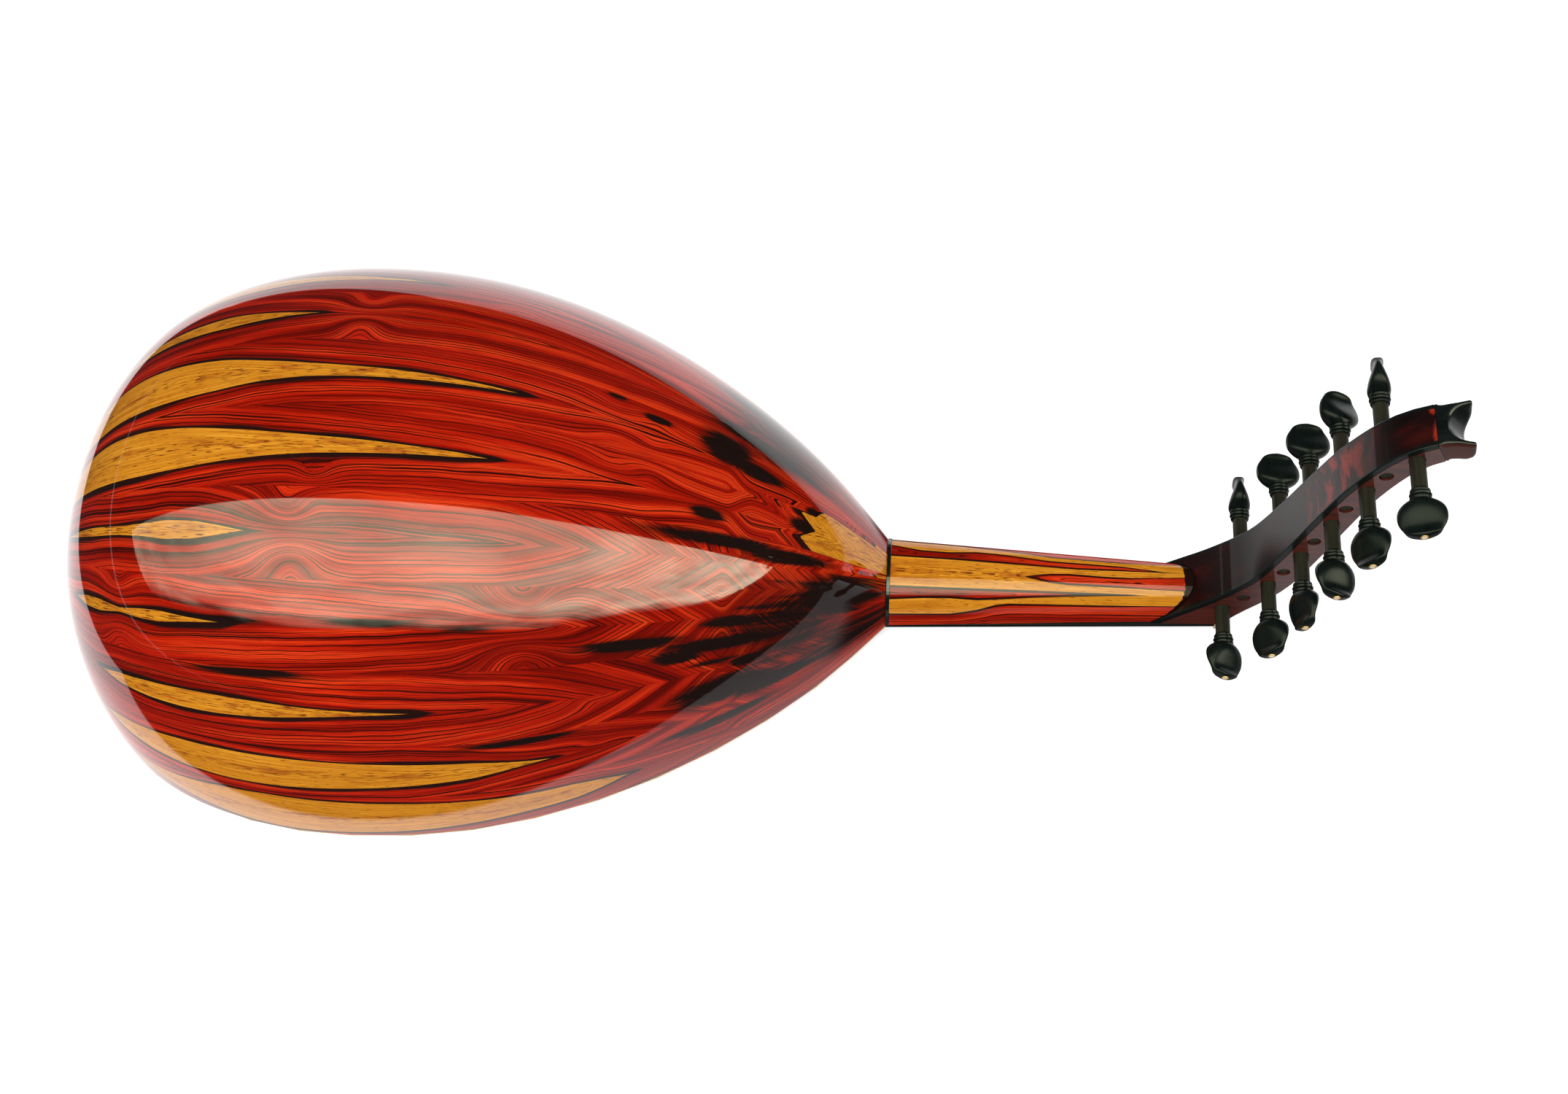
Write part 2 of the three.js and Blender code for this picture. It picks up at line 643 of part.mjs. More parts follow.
function pathShares(from, to) {
  const shares = [];
  for (let i = from; i <= to; i++) shares.push(i / PATH_STEPS);
  return shares;
}

// Everything on the strings' side of the neck's seat is cut off, so the box stands flat on it
function belowSeat() {
  const size = 2 * NECK_LENGTH;
  return boxAt(NECK_LENGTH, 0, NECK_SEAT_Z - size / 2, size, size, size);
}

// What the pegbox takes out of the neck's end
function pegboxBed() {
  const rings = pathShares(0, BED_END_STEP).map((share) =>
    boxSection(share, boxHalfDepth(share) + SEAT_GAP, NECK_LENGTH, -NECK_LENGTH, NECK_LENGTH));
  return loft(rings);
}

// Where each peg crosses the box. They come in from opposite sides by turns, in two rows.
function pegPlaces() {
  const places = [];
  const lastDistance = (PATH_LENGTH * WALL_END_STEP) / PATH_STEPS - LAST_PEG_TO_FINIAL;
  const spacing = (lastDistance - FIRST_PEG_DISTANCE) / ((PEG_COUNT - 1) / 2);
  for (let peg = 0; peg < PEG_COUNT; peg++) {
    const inFarRow = peg % 2;
    const pairs = (peg - inFarRow) / 2;
    const distance = FIRST_PEG_DISTANCE + (pairs + inFarRow * FAR_PEG_STEP_SHARE) * spacing;
    const share = distance / PATH_LENGTH;
    const { point, back } = pathFrame(share);
    places.push({ point, back, side: inFarRow ? 1 : -1, half: boxHalfWidth(share) });
  }
  return places;
}

const PEGS = pegPlaces();

// Shaft radius at a distance in from the outside of the head-side wall
function shaftRadius(depth, half) {
  return THREE.MathUtils.mapLinear(depth, 0, 2 * half, SHAFT_RADIUS, SHAFT_TIP_RADIUS);
}

function pegHole({ point, side, half }, wallSide) {
  const depth = wallSide === side ? 0 : 2 * half - BOX_WALL;
  const radius = shaftRadius(depth, half) + RUN_GAP;
  const length = 2 * (BOX_WALL + CUT_OVERRUN);
  const rod = new THREE.CylinderGeometry(radius, radius, length, PEG_SIDES);
  return rod.translate(point.x, wallSide * half, point.z);
}

function makeWall(name, side) {
  const shares = pathShares(0, WALL_END_STEP);
  const rings = shares.map((share) => {
    const outer = boxHalfWidth(share);
    const back = boxHalfDepth(share) - BACK_BOARD;
    return boxSection(share, back, boxFrontDepth(share), side * (outer - BOX_WALL), side * outer);
  });
  const cutters = [belowSeat(), ...PEGS.map((peg) => pegHole(peg, side))];
  addPiece(name, cut(loft(rings), cutters), COCOBOLO_DARK);
}

// The back board, with the solid heel under its root that fills the space between the walls
function makeBackBoard() {
  const board = pathShares(0, WALL_END_STEP).map((share) => {
    const half = boxHalfWidth(share);
    const depth = boxHalfDepth(share);
    return boxSection(share, depth, BACK_BOARD - depth, -half, half);
  });
  const heel = pathShares(0, HEEL_END_STEP).map((share) => {
    const half = boxHalfWidth(share) - BOX_WALL - SEAT_GAP;
    const depth = boxHalfDepth(share) - BACK_BOARD / 2;
    return boxSection(share, depth, boxFrontDepth(share), -half, half);
  });
  const pastNut = boxAt(2 * NECK_LENGTH + NUT_WIDTH, 0, 0, 2 * NECK_LENGTH, NECK_LENGTH, 2 * NECK_LENGTH);
  const heelBlock = cut(loft(heel), [pastNut]);
  addPiece("pegbox_back", cut(join([loft(board), heelBlock]), [belowSeat()]), COCOBOLO_DARK);
}

// The carved end: two horns with a hollow scooped out between them
function makeFinial() {
  const steps = PATH_STEPS - WALL_END_STEP;
  const rings = pathShares(WALL_END_STEP, PATH_STEPS).map((share, i) => {
    const half = boxHalfWidth(share) + FINIAL_HORN * (i / steps) ** 2;
    return boxSection(share, boxHalfDepth(share), boxHalfDepth(share), -half, half);
  });
  const { point, back, run } = pathFrame(1);
  const scoop = new THREE.CylinderGeometry(SCOOP_RADIUS, SCOOP_RADIUS, PEGBOX_REACH, SCOOP_SIDES);
  const lean = THREE.MathUtils.degToRad(SCOOP_TILT);
  const axis = back.clone().multiplyScalar(Math.cos(lean)).addScaledVector(run, -Math.sin(lean));
  const turn = new THREE.Quaternion().setFromUnitVectors(new THREE.Vector3(0, 1, 0), axis);
  const centre = point.clone().addScaledVector(run, SCOOP_REACH);
  scoop.applyQuaternion(turn).translate(centre.x, centre.y, centre.z);
  addPiece("pegbox_finial", cut(loft(rings), [scoop]), EBONY);
}

// A peg along +Y: its shaft inside the box below y = 0, its collar and head above
function pegRings(half) {
  const rings = [];
  const ring = (y, wide, thick) => {
    const points = [];
    for (let i = 0; i < PEG_SIDES; i++) {
      const angle = (2 * Math.PI * i) / PEG_SIDES;
      points.push(new THREE.Vector3(wide * Math.cos(angle), y, thick * Math.sin(angle)));
    }
    rings.push(points);
  };
  const shaftEnd = 2 * half - SHAFT_RECESS;
  const tipRadius = shaftRadius(shaftEnd, half);
  ring(-shaftEnd, tipRadius, tipRadius);
  ring(0, SHAFT_RADIUS, SHAFT_RADIUS);
  ring(SHAFT_REACH, SHAFT_RADIUS, SHAFT_RADIUS);
  const groove = SHAFT_REACH + COLLAR_LENGTH / 2;
  ring(SHAFT_REACH + COLLAR_LENGTH / 4, COLLAR_RADIUS, COLLAR_RADIUS);
  ring(groove, COLLAR_GROOVE_RADIUS, COLLAR_GROOVE_RADIUS);
  ring(groove + COLLAR_LENGTH / 4, COLLAR_RADIUS, COLLAR_RADIUS);
  HEAD_LENGTH_SHARES.forEach((share, i) => {
    const y = SHAFT_REACH + COLLAR_LENGTH + share * HEAD_LENGTH;
    ring(y, HEAD_WIDTH_SHARES[i] * HEAD_HALF_WIDTH, HEAD_THICKNESS_SHARES[i] * HEAD_HALF_THICKNESS);
  });
  return rings;
}

function makePegs() {
  PEGS.forEach(({ point, side, half }, i) => {
    const mesh = addPiece(`peg_${String(i + 1).padStart(2, "0")}`, loft(pegRings(half)), EBONY);
    mesh.position.set(point.x, side * half, point.z);
    mesh.rotation.set(side < 0 ? Math.PI : 0, THREE.MathUtils.degToRad(HEAD_TURNS[i]), 0, "YXZ");
  });
}

// Where a string clears the front of a peg's shaft, in the plane of x and z
function frontOfPeg({ point, back }, radius) {
  return point.clone().addScaledVector(back, -(SHAFT_RADIUS + RUN_GAP + radius + RUN_GAP));
}

// The line of a taut string from the nut to its peg, past the fronts of the pegs before it
function boxLine(peg, radius) {
  const startX = NECK_LENGTH + NUT_WIDTH + NUT_BEND_RADIUS;
  const line = [new THREE.Vector3(startX, 0, NUT_STRING_Z + NUT_BEND_RADIUS)];
  const bends = (a, b, c) => (b.x - a.x) * (c.z - b.z) - (b.z - a.z) * (c.x - b.x) <= 0;
  for (let i = 0; i <= peg; i++) {
    const next = frontOfPeg(PEGS[i], radius);
    while (line.length > 1 && bends(line[line.length - 2], line[line.length - 1], next)) line.pop();
    line.push(next);
  }
  return line;
}

// From the peg's end of a string to the front of the bridge
function stringRun(peg, { radius, nutY, bridgeY }) {
  const line = boxLine(peg, radius);
  const laneY = nutY * LANE_SHARE * (PEGS[peg].half - BOX_WALL) / (NUT_HALF_WIDTH - BOX_WALL);
  const far = line[line.length - 1].distanceTo(line[0]);
  const points = line.map((p) => {
    const share = p.distanceTo(line[0]) / far;
    return p.clone().setY(THREE.MathUtils.lerp(nutY, laneY, share));
  });
  points.reverse();
  const bendX = NECK_LENGTH + NUT_WIDTH;
  for (let i = 1; i <= BEND_STEPS; i++) {
    const angle = (Math.PI / 2) * (1 - i / BEND_STEPS);
    const x = bendX + NUT_BEND_RADIUS * Math.sin(angle);
    const z = NUT_STRING_Z + NUT_BEND_RADIUS * (1 - Math.cos(angle));
    points.push(new THREE.Vector3(x, nutY, z));
  }
  points.push(new THREE.Vector3(NECK_LENGTH, nutY, NUT_STRING_Z));
  points.push(new THREE.Vector3(BRIDGE_X + BRIDGE_BASE / 2, bridgeY, BRIDGE_STRING_Z));
  return points;
}

// A round cord through points, with its own radius at each of them
function cordThrough(points, radii) {
  const rings = [];
  let side = new THREE.Vector3(0, 1, 0);
  points.forEach((point, i) => {
    const before = points[Math.max(i - 1, 0)];
    const after = points[Math.min(i + 1, points.length - 1)];
    const run = after.clone().sub(before).normalize();
    side = side.addScaledVector(run, -side.dot(run)).normalize();
    const up = run.clone().cross(side);
    const ring = [];
    for (let k = 0; k < STRING_SIDES; k++) {
      const angle = (2 * Math.PI * k) / STRING_SIDES;
      const spoke = side.clone().multiplyScalar(Math.cos(angle)).addScaledVector(up, Math.sin(angle));
      ring.push(point.clone().addScaledVector(spoke, radii[i]));
    }
    rings.push(ring);
  });
  return loft(rings);
}

function makeStrings(strings) {
  const behind = BRIDGE_X - BRIDGE_BASE / 2;
  const pegOf = (string) => PEGS.findIndex((_, peg) => stringOfPeg(peg, strings) === string);
  STRING_RADII.forEach((radius, course) => {
    const members = strings.filter((string) => string.course === course);
    const runs = members.map((string) => stringRun(pegOf(string), string));
    const [first, second] = runs;
    const backOf = (string) => new THREE.Vector3(behind, string.bridgeY, BRIDGE_STRING_Z);
    const points = [...first, backOf(members[0])];
    const radii = points.map(() => radius);
    if (second) {
      const loopRadius = (members[1].bridgeY - members[0].bridgeY) / 2;
      const middleY = (members[1].bridgeY + members[0].bridgeY) / 2;
      for (let i = 0; i <= BEND_STEPS; i++) {
        const angle = (Math.PI * i) / BEND_STEPS;
        const x = behind - LOOP_STAND_OFF - loopRadius * Math.sin(angle);
        points.push(new THREE.Vector3(x, middleY - loopRadius * Math.cos(angle), BRIDGE_STRING_Z));
      }
      points.push(backOf(members[1]), ...second.reverse());
      while (radii.length < points.length) radii.push(radius);
    } else {
      const knotStart = points[points.length - 1].clone().setX(behind - SEAT_GAP);
      const knotEnd = knotStart.clone().setX(knotStart.x - KNOT_LENGTH);
      points.push(knotStart, knotStart.clone().lerp(knotEnd, 1 / 2), knotEnd);
      radii.push(radius, KNOT_RADIUS, radius);
    }
    const name = course === 0 ? "string_bass" : `string_pair_${course}`;
    addPiece(name, cordThrough(points, radii), course < STRING_RADII.length - 2 ? WOUND : NYLON);
  });
}

const STRINGS = stringTable();
makeRibs();
makeBlocks();
makeTailCap();
makeSoundboard();
makeRosettes();
makePickguard();
makeBraces("braces_upper", UPPER_BRACE_X);
makeBraces("braces_lower", [MIDDLE_BRACE_X, SECOND_BRACE_X, ...TAIL_BRACE_X]);
makeBridge(STRINGS);
makeNeck();
makeFingerboard();
makeNut(STRINGS);
makeWall("pegbox_wall_near", -1);
makeWall("pegbox_wall_far", 1);
makeBackBoard();
makeFinial();
makePegs();
makeStrings(STRINGS);

// Set down on the bridge, with the origin under the middle of the whole length
const box = new THREE.Box3().setFromObject(oud);
oud.position.set(-(box.min.x + box.max.x) / 2, 0, -TABLE_Z);
oud.updateMatrixWorld(true);

export default oud;
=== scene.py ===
# %% [markdown]
# # Dressing an oud that lies on its face
#
# The solid model of the oud is packed already. It is loaded here as a fixed frame, and this lesson
# gives every piece its real surface: bookmatched red wood under clear lacquer on the bowl, striped wood
# on the neck, turned black pegs with bone dots, and a fretted rosette in the face below.
# Lengths are metres. +X runs from the tail to the pegbox, and +Z goes up through the back of the bowl.

# %% Load the frame
import json
import math
import bmesh
import bpy
import numpy as np
from mathutils import Matrix, Vector


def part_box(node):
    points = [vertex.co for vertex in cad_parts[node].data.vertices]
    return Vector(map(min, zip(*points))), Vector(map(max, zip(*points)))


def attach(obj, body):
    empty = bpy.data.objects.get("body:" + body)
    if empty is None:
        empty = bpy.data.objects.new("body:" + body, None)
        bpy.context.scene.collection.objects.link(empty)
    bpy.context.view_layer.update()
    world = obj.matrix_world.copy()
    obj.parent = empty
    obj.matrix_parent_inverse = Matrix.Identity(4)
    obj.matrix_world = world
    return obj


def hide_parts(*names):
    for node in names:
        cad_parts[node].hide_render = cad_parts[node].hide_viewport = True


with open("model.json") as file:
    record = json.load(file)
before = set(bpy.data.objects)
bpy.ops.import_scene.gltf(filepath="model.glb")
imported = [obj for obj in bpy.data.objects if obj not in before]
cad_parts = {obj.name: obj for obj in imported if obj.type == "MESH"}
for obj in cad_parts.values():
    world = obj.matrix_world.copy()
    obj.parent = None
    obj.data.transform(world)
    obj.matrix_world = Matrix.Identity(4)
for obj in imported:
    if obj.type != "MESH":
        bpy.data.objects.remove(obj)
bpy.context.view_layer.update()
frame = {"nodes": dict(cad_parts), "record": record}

MM = 0.001
PEGS = [f"peg_{number:02d}" for number in range(1, 12)]


def placed(name, data):
    """A new object in the scene."""
    made = bpy.data.objects.new(name, data)
    bpy.context.scene.collection.objects.link(made)
    return made


def mesh_of(shape_bm, name="shape"):
    """A mesh of a shape, whose bmesh is then used up."""
    mesh = bpy.data.meshes.new(name)
    shape_bm.to_mesh(mesh)
    shape_bm.free()
    return mesh


print("pieces in the frame:", len(frame["nodes"]))

# %% [markdown]
# The camera stands where the photographer stood, in front of the bowl's near flank and high above it.
# It could be set by eye, but the outline, the neck and the peg holes give its place and its lens.

# %% Set the camera
CAMERA_PLACE = (116.5 * MM, -570.2 * MM, 1105.6 * MM)
CAMERA_TILT = math.radians(28.47)
CAMERA_PAN = math.radians(3.90)
CAMERA_ROLL = math.radians(2.17)
LENS_SHARE = 2800 / 2150

camera_data = bpy.data.cameras.new("photographers_camera")
camera_data.sensor_width = 36
camera_data.lens = LENS_SHARE * camera_data.sensor_width
camera_data.clip_start = 10 * MM
camera = placed("photographers_camera", camera_data)
turn = Matrix.Rotation(CAMERA_TILT, 4, "X") @ Matrix.Rotation(CAMERA_PAN, 4, "Y")
turn = turn @ Matrix.Rotation(CAMERA_ROLL, 4, "Z")
camera.matrix_world = Matrix.Translation(CAMERA_PLACE) @ turn
bpy.context.scene.camera = camera
bpy.context.scene.view_settings.view_transform = "Standard"
print("lens in mm:", round(camera_data.lens, 2))

# %% [markdown]
# A finish is a small recipe of nodes. It could be clicked together in the editor, or written link by
# link, but a formula is easier to read. So a small class wraps a socket, and its operators add Math
# nodes. One method of the recipe adds any other node.


# %% Write shader maths as formulas
def operator(operation, reflected=False):
    """What an operator does between two values, of which at least one is a socket."""
    def act(socket, other):
        return socket.math(operation, *((other, socket) if reflected else (socket, other)))
    return act


class Socket:
    """A node's output that can stand in a formula."""

    def __init__(self, recipe, output):
        self.recipe = recipe
        self.output = output

    def math(self, operation, *values):
        return self.recipe.add("ShaderNodeMath", {"operation": operation}, dict(enumerate(values)))

    __add__ = __radd__ = operator("ADD")
    __mul__ = __rmul__ = operator("MULTIPLY")
    __sub__, __rsub__ = operator("SUBTRACT"), operator("SUBTRACT", reflected=True)
    __truediv__, __rtruediv__ = operator("DIVIDE"), operator("DIVIDE", reflected=True)
    most = operator("MAXIMUM")

    def __abs__(self):
        return self.math("ABSOLUTE", self)

    def rise(self, start, end, low=0.0, high=1.0):
        """Goes smoothly from low to high while the value goes from start to end."""
        values = {"Value": self, "From Min": start, "From Max": end, "To Min": low, "To Max": high}
        return self.recipe.add("ShaderNodeMapRange", {"interpolation_type": "SMOOTHSTEP"}, values)


class Recipe:
    """A material, and the methods that add nodes to it."""

    def __init__(self, name, tree=None):
        if tree is None:
            self.material = bpy.data.materials.new(name)
            self.material.use_nodes = True
            tree = self.material.node_tree
        self.tree = tree
        tree.nodes.clear()

    def add(self, kind, settings=None, values=None, output=0):
        """Adds a node, sets it, fills its inputs and returns one of its outputs."""
        node = self.tree.nodes.new(kind)
        for name, value in (settings or {}).items():
            if name == "stops":
                for i, (place, color) in enumerate(value):
                    stops = node.color_ramp.elements
                    stop = stops[i] if i < len(stops) else stops.new(place)
                    stop.position = place
                    stop.color = (*color, 1)
            else:
                setattr(node, name, value)
        for key, value in (values or {}).items():
            if isinstance(value, Socket):
                self.tree.links.new(value.output, node.inputs[key])
            elif hasattr(value, "__len__") and len(value) == 3 and node.inputs[key].type == "RGBA":
                node.inputs[key].default_value = (*value, 1)
            else:
                node.inputs[key].default_value = value
        return Socket(self, node.outputs[output]) if node.outputs else None

    def place(self):
        """x, y and z of the point that is being coloured."""
        spot = self.add("ShaderNodeTexCoord", output="Object")
        return [self.add("ShaderNodeSeparateXYZ", values={0: spot}, output=i) for i in range(3)]

    def attribute(self, name):
        return self.add("ShaderNodeAttribute", {"attribute_name": name}, output="Fac")

    def noise(self, x, y, z, detail=0.0):
        spot = self.add("ShaderNodeCombineXYZ", values={0: x, 1: y, 2: z})
        return self.add("ShaderNodeTexNoise", values={"Vector": spot, "Scale": 1.0, "Detail": detail})

    def ring_gap(self, rings):
        """The distance to the nearest growth line, where rings counts them unevenly."""
        settings = {"voronoi_dimensions": "1D", "feature": "DISTANCE_TO_EDGE"}
        values = {"W": rings, "Scale": 1.0, "Randomness": 0.9}
        return self.add("ShaderNodeTexVoronoi", settings, values)

    def mix(self, share, first, second):
        """A mix of two colours."""
        return self.add("ShaderNodeMix", {"data_type": "RGBA"}, {0: share, 6: first, 7: second}, output=2)

    def ramp(self, value, stops):
        return self.add("ShaderNodeValToRGB", {"stops": stops}, {0: value})

    def bump(self, height, depth, strength):
        values = {"Height": height, "Distance": depth, "Strength": strength}
        return self.add("ShaderNodeBump", values=values)

    def ray(self, kind):
        """1 for rays of one kind, and 0 for others."""
        return self.add("ShaderNodeLightPath", output=f"Is {kind} Ray")

    def glow(self, color, strength=1.0):
        return self.add("ShaderNodeEmission", values={"Color": color, "Strength": strength})

    def blend(self, share, first, second):
        """A mix of two shaders."""
        return self.add("ShaderNodeMixShader", values={0: share, 1: first, 2: second})

    def close(self, shader):
        """Ends the recipe with a shader, and returns the material."""
        self.add("ShaderNodeOutputMaterial", values={0: shader})
        return self.material

    def finish(self, color, roughness, relief=None, coat=0.0, coat_roughness=0.04, base_gloss=0.5,
               metal=0.0):
        """Ends the recipe with the usual shader, whose coat is the lacquer."""
        values = {
            "Base Color": color, "Roughness": roughness, "Metallic": metal, "Coat Weight": coat,
            "Coat Roughness": coat_roughness, "Specular IOR Level": base_gloss,
        }
        if relief:
            values["Normal"] = relief
        return self.close(self.add("ShaderNodeBsdfPrincipled", values=values))


print("a recipe adds its nodes with one method")

# %% [markdown]
# The stage is a white sheet on a floor. The reflections on the bowl tell its size: it ends a hand's
# breadth past the tail and just in front of the near rim. It could be lit until it is white, but that
# would wash the wood out. So Light Path whitens it for the camera and for reflections, and it keeps a
# soft shadow. In reflections it also carries painted shade: a dark strip under the neck, and a dimmer
# stretch in front of the near side, from the middle of the bowl on towards the pegbox.

# %% Lay the sheet
SHEET_LEFT = -540 * MM
SHEET_NEAR = -192 * MM
SHEET_GLOW = 0.55
FLOOR_REACH = 8.0


def flat_sheet(name, left, right, near, far, height):
    """A level rectangle, facing up."""
    sheet_bm = bmesh.new()
    bmesh.ops.create_grid(sheet_bm, x_segments=1, y_segments=1, size=0.5)
    for corner in sheet_bm.verts:
        corner.co.x = left + (corner.co.x + 0.5) * (right - left)
        corner.co.y = near + (corner.co.y + 0.5) * (far - near)
        corner.co.z = height
    made = placed(name, mesh_of(sheet_bm, name))
    return made


def seen_or_mirrored(recipe):
    """1 for rays from the camera, from gloss or through glass."""
    return recipe.ray("Camera").most(recipe.ray("Glossy")).most(recipe.ray("Transmission"))


def floor_finish():
    recipe = Recipe("white_sheet")
    x, y, z = recipe.place()
    on_sheet = x.rise(SHEET_LEFT - 4 * MM, SHEET_LEFT + 4 * MM)
    on_sheet = on_sheet * y.rise(SHEET_NEAR - 3 * MM, SHEET_NEAR + 3 * MM)
    tone = recipe.noise(x * 6, y * 6, z, 2)
    tone = recipe.ramp(tone, [(0.3, (0.80, 0.80, 0.80)), (0.7, (0.84, 0.84, 0.84))])
    paper = recipe.add("ShaderNodeBsdfDiffuse", values={"Color": tone})
    lit = recipe.add("ShaderNodeAddShader", values={0: paper, 1: recipe.glow((1, 1, 1), SHEET_GLOW)})
    # Painted shade on the sheet, seen only in reflections: a dark strip under the neck, and a dimmer
    # stretch in front of the near side, from the middle of the bowl on towards the pegbox.
    beside_neck = x.rise(0.07, 0.11) * x.rise(0.30, 0.34, 1, 0)
    neck_shade = beside_neck * abs(y).rise(0.055, 0.08, 1, 0)
    bowl_shade = x.rise(-0.15, 0.10) * y.rise(-0.06, 0.06, 0.6, 0)
    off_sheet_or_shaded = recipe.ray("Glossy") * (1 - on_sheet * (1 - neck_shade) * (1 - bowl_shade))
    seen = recipe.blend(seen_or_mirrored(recipe), paper, lit)
    return recipe.close(recipe.blend(off_sheet_or_shaded, seen, recipe.glow((0.03, 0.03, 0.033))))


floor = flat_sheet("floor", -FLOOR_REACH, FLOOR_REACH, -FLOOR_REACH, FLOOR_REACH, 0)
floor.data.materials.append(floor_finish())
print("sheet ends at x, y:", SHEET_LEFT, SHEET_NEAR)

# %% [markdown]
# The world is white for the camera and for reflections, and gives everything else a plain even light.
# The real bowl mirrors a dark ceiling with a long bright skylight over its near flank. So both hang
# here too, where only reflections see them. The ceiling is tipped, so that a thin strip of light shows
# under its foot at the tail's side.

# %% Light the room
WORLD_LIGHT = 0.45
CEILING_RISE = 2.4
CEILING_FOOT = -0.02
CEILING_TIP = math.radians(1.0)
CEILING_REACH = 7.0
SKYLIGHT_HEIGHT = 1.5
SKYLIGHT_TINT = (0.97, 1.0, 0.72)


def room_light():
    world = bpy.data.worlds.new("studio")
    bpy.context.scene.world = world
    world.use_nodes = True
    recipe = Recipe("studio", world.node_tree)
    even, white = [recipe.add("ShaderNodeBackground", values={"Color": (1, 1, 1), "Strength": strength})
                   for strength in (WORLD_LIGHT, 1.0)]
    recipe.add("ShaderNodeOutputWorld", values={0: recipe.blend(seen_or_mirrored(recipe), even, white)})


def only_mirrored(thing):
    """The thing shows in gloss alone, and neither lights nor shades anything."""
    for way in ("camera", "diffuse", "transmission", "volume_scatter", "shadow"):
        setattr(thing, f"visible_{way}", False)


def ceiling():
    dome_bm = bmesh.new()
    bmesh.ops.create_uvsphere(dome_bm, u_segments=64, v_segments=32, radius=1)
    low = [vertex for vertex in dome_bm.verts if vertex.co.z < -0.01]
    bmesh.ops.delete(dome_bm, geom=low, context="VERTS")
    bmesh.ops.scale(dome_bm, vec=(CEILING_REACH, CEILING_REACH, CEILING_RISE), verts=dome_bm.verts)
    tip = Matrix.Rotation(CEILING_TIP, 3, "Y")
    bmesh.ops.rotate(dome_bm, matrix=tip, verts=dome_bm.verts)
    bmesh.ops.translate(dome_bm, vec=(0, 0, CEILING_FOOT), verts=dome_bm.verts)
    made = placed("ceiling", mesh_of(dome_bm, "ceiling"))
    only_mirrored(made)
    recipe = Recipe("dark_ceiling")
    x, y, z = recipe.place()
    patch = recipe.noise(x * 0.5, y * 0.5, z * 0.5, 2)
    shade = recipe.ramp(patch, [(0.35, (0.012, 0.010, 0.010)), (0.75, (0.05, 0.047, 0.045))])
    made.data.materials.append(recipe.close(recipe.glow(shade)))


def lamp(name, place, aim, width, depth, power):
    data = bpy.data.lights.new(name, "AREA")
    data.shape = "RECTANGLE"
    data.size = width
    data.size_y = depth
    data.energy = power
    made = placed(name, data)
    facing = (Vector(place) - Vector(aim)).to_track_quat("Z", "Y")
    made.matrix_world = Matrix.Translation(place) @ facing.to_matrix().to_4x4()
    made.visible_camera = False
    made.visible_glossy = False


def skylight():
    """A long bright opening over the near flank, brighter towards the pegbox, seen in gloss alone."""
    near, far = -1.5 * SKYLIGHT_HEIGHT, -0.105 * SKYLIGHT_HEIGHT
    made = flat_sheet("skylight", -6, 16, near, far, SKYLIGHT_HEIGHT)
    only_mirrored(made)
    recipe = Recipe("skylight_glow")
    x, y, z = recipe.place()
    strength = x.rise(-2.6, -0.6, 3.0, 5.4) + x.rise(-0.6, 3.4, 0.0, 3.6)
    cloud = recipe.noise(x * 1.3, y * 2.5, z, 3)
    soft_edge = (y + (cloud - 0.5) * 0.7).rise(near, 0.7 * near)
    strength = strength * cloud.rise(0.3, 0.7, 0.7, 1.2) * soft_edge
    glow = recipe.add("ShaderNodeVectorMath", {"operation": "SCALE"}, {0: SKYLIGHT_TINT, "Scale": strength})
    made.data.materials.append(recipe.close(recipe.glow(glow)))


room_light()
ceiling()
skylight()
lamp("soft_key", (-0.5, -1.1, 1.7), (0, 0, 0.1), 1.6, 1.2, 28)
lamp("soft_fill", (0.9, 1.0, 1.5), (0, 0, 0.1), 1.4, 1.4, 12)
print("lamps:", len(bpy.data.lights))

# %% [markdown]
# The bowl is one surface that all its ribs share: the outline of the face, turned about the middle line
# and made a little deeper than it is wide. The frame's flat facets could be kept, but gloss shows
# every facet. So a smooth curve is laid through the same outline, and each rib is drawn again on it,
# with the same section rule.

# %% Lay a smooth line through the outline
RIM_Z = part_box("soundboard")[1].z
TAIL_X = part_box("soundboard")[0].x
JOINT_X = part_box("soundboard")[1].x
HALF_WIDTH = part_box("soundboard")[1].y
CROWN_Z = max(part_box(name)[1].z for name in ("rib_12", "rib_13"))
DEPTH_RATIO = (CROWN_Z - RIM_Z) / HALF_WIDTH
FULLNESS = 2.12
RIB_COUNT = 24
RIB_THICKNESS = 3 * MM
SEAM_SHIFT = math.radians(3)
OUTLINE_SHARES = ([0, 0.08, 0.195, 0.328, 0.471, 0.612, 0.735, 0.86, 0.945, 0.985, 1],
                  [0.155, 0.394, 0.641, 0.8385, 0.962, 1, 0.965, 0.822, 0.56, 0.3, 0.069])
OUTLINE_STEPS = 300


def smooth_line(knots, values, wanted):
    """A cubic spline through values at knots, with no bend at its two ends."""
    gaps = np.diff(knots)
    slopes = np.diff(values) / gaps
    system = np.eye(len(knots))
    right = np.zeros(len(knots))
    for i in range(1, len(knots) - 1):
        system[i, i - 1:i + 2] = gaps[i - 1], 2 * (gaps[i - 1] + gaps[i]), gaps[i]
        right[i] = 6 * (slopes[i] - slopes[i - 1])
    bends = np.linalg.solve(system, right)
    span = np.clip(np.searchsorted(knots, wanted) - 1, 0, len(gaps) - 1)
    gap = gaps[span]
    before = wanted - knots[span]
    after = knots[span + 1] - wanted
    curved = (bends[span] * after**3 + bends[span + 1] * before**3) / (6 * gap)
    straight = (values[span] / gap - bends[span] * gap / 6) * after
    return curved + straight + (values[span + 1] / gap - bends[span + 1] * gap / 6) * before


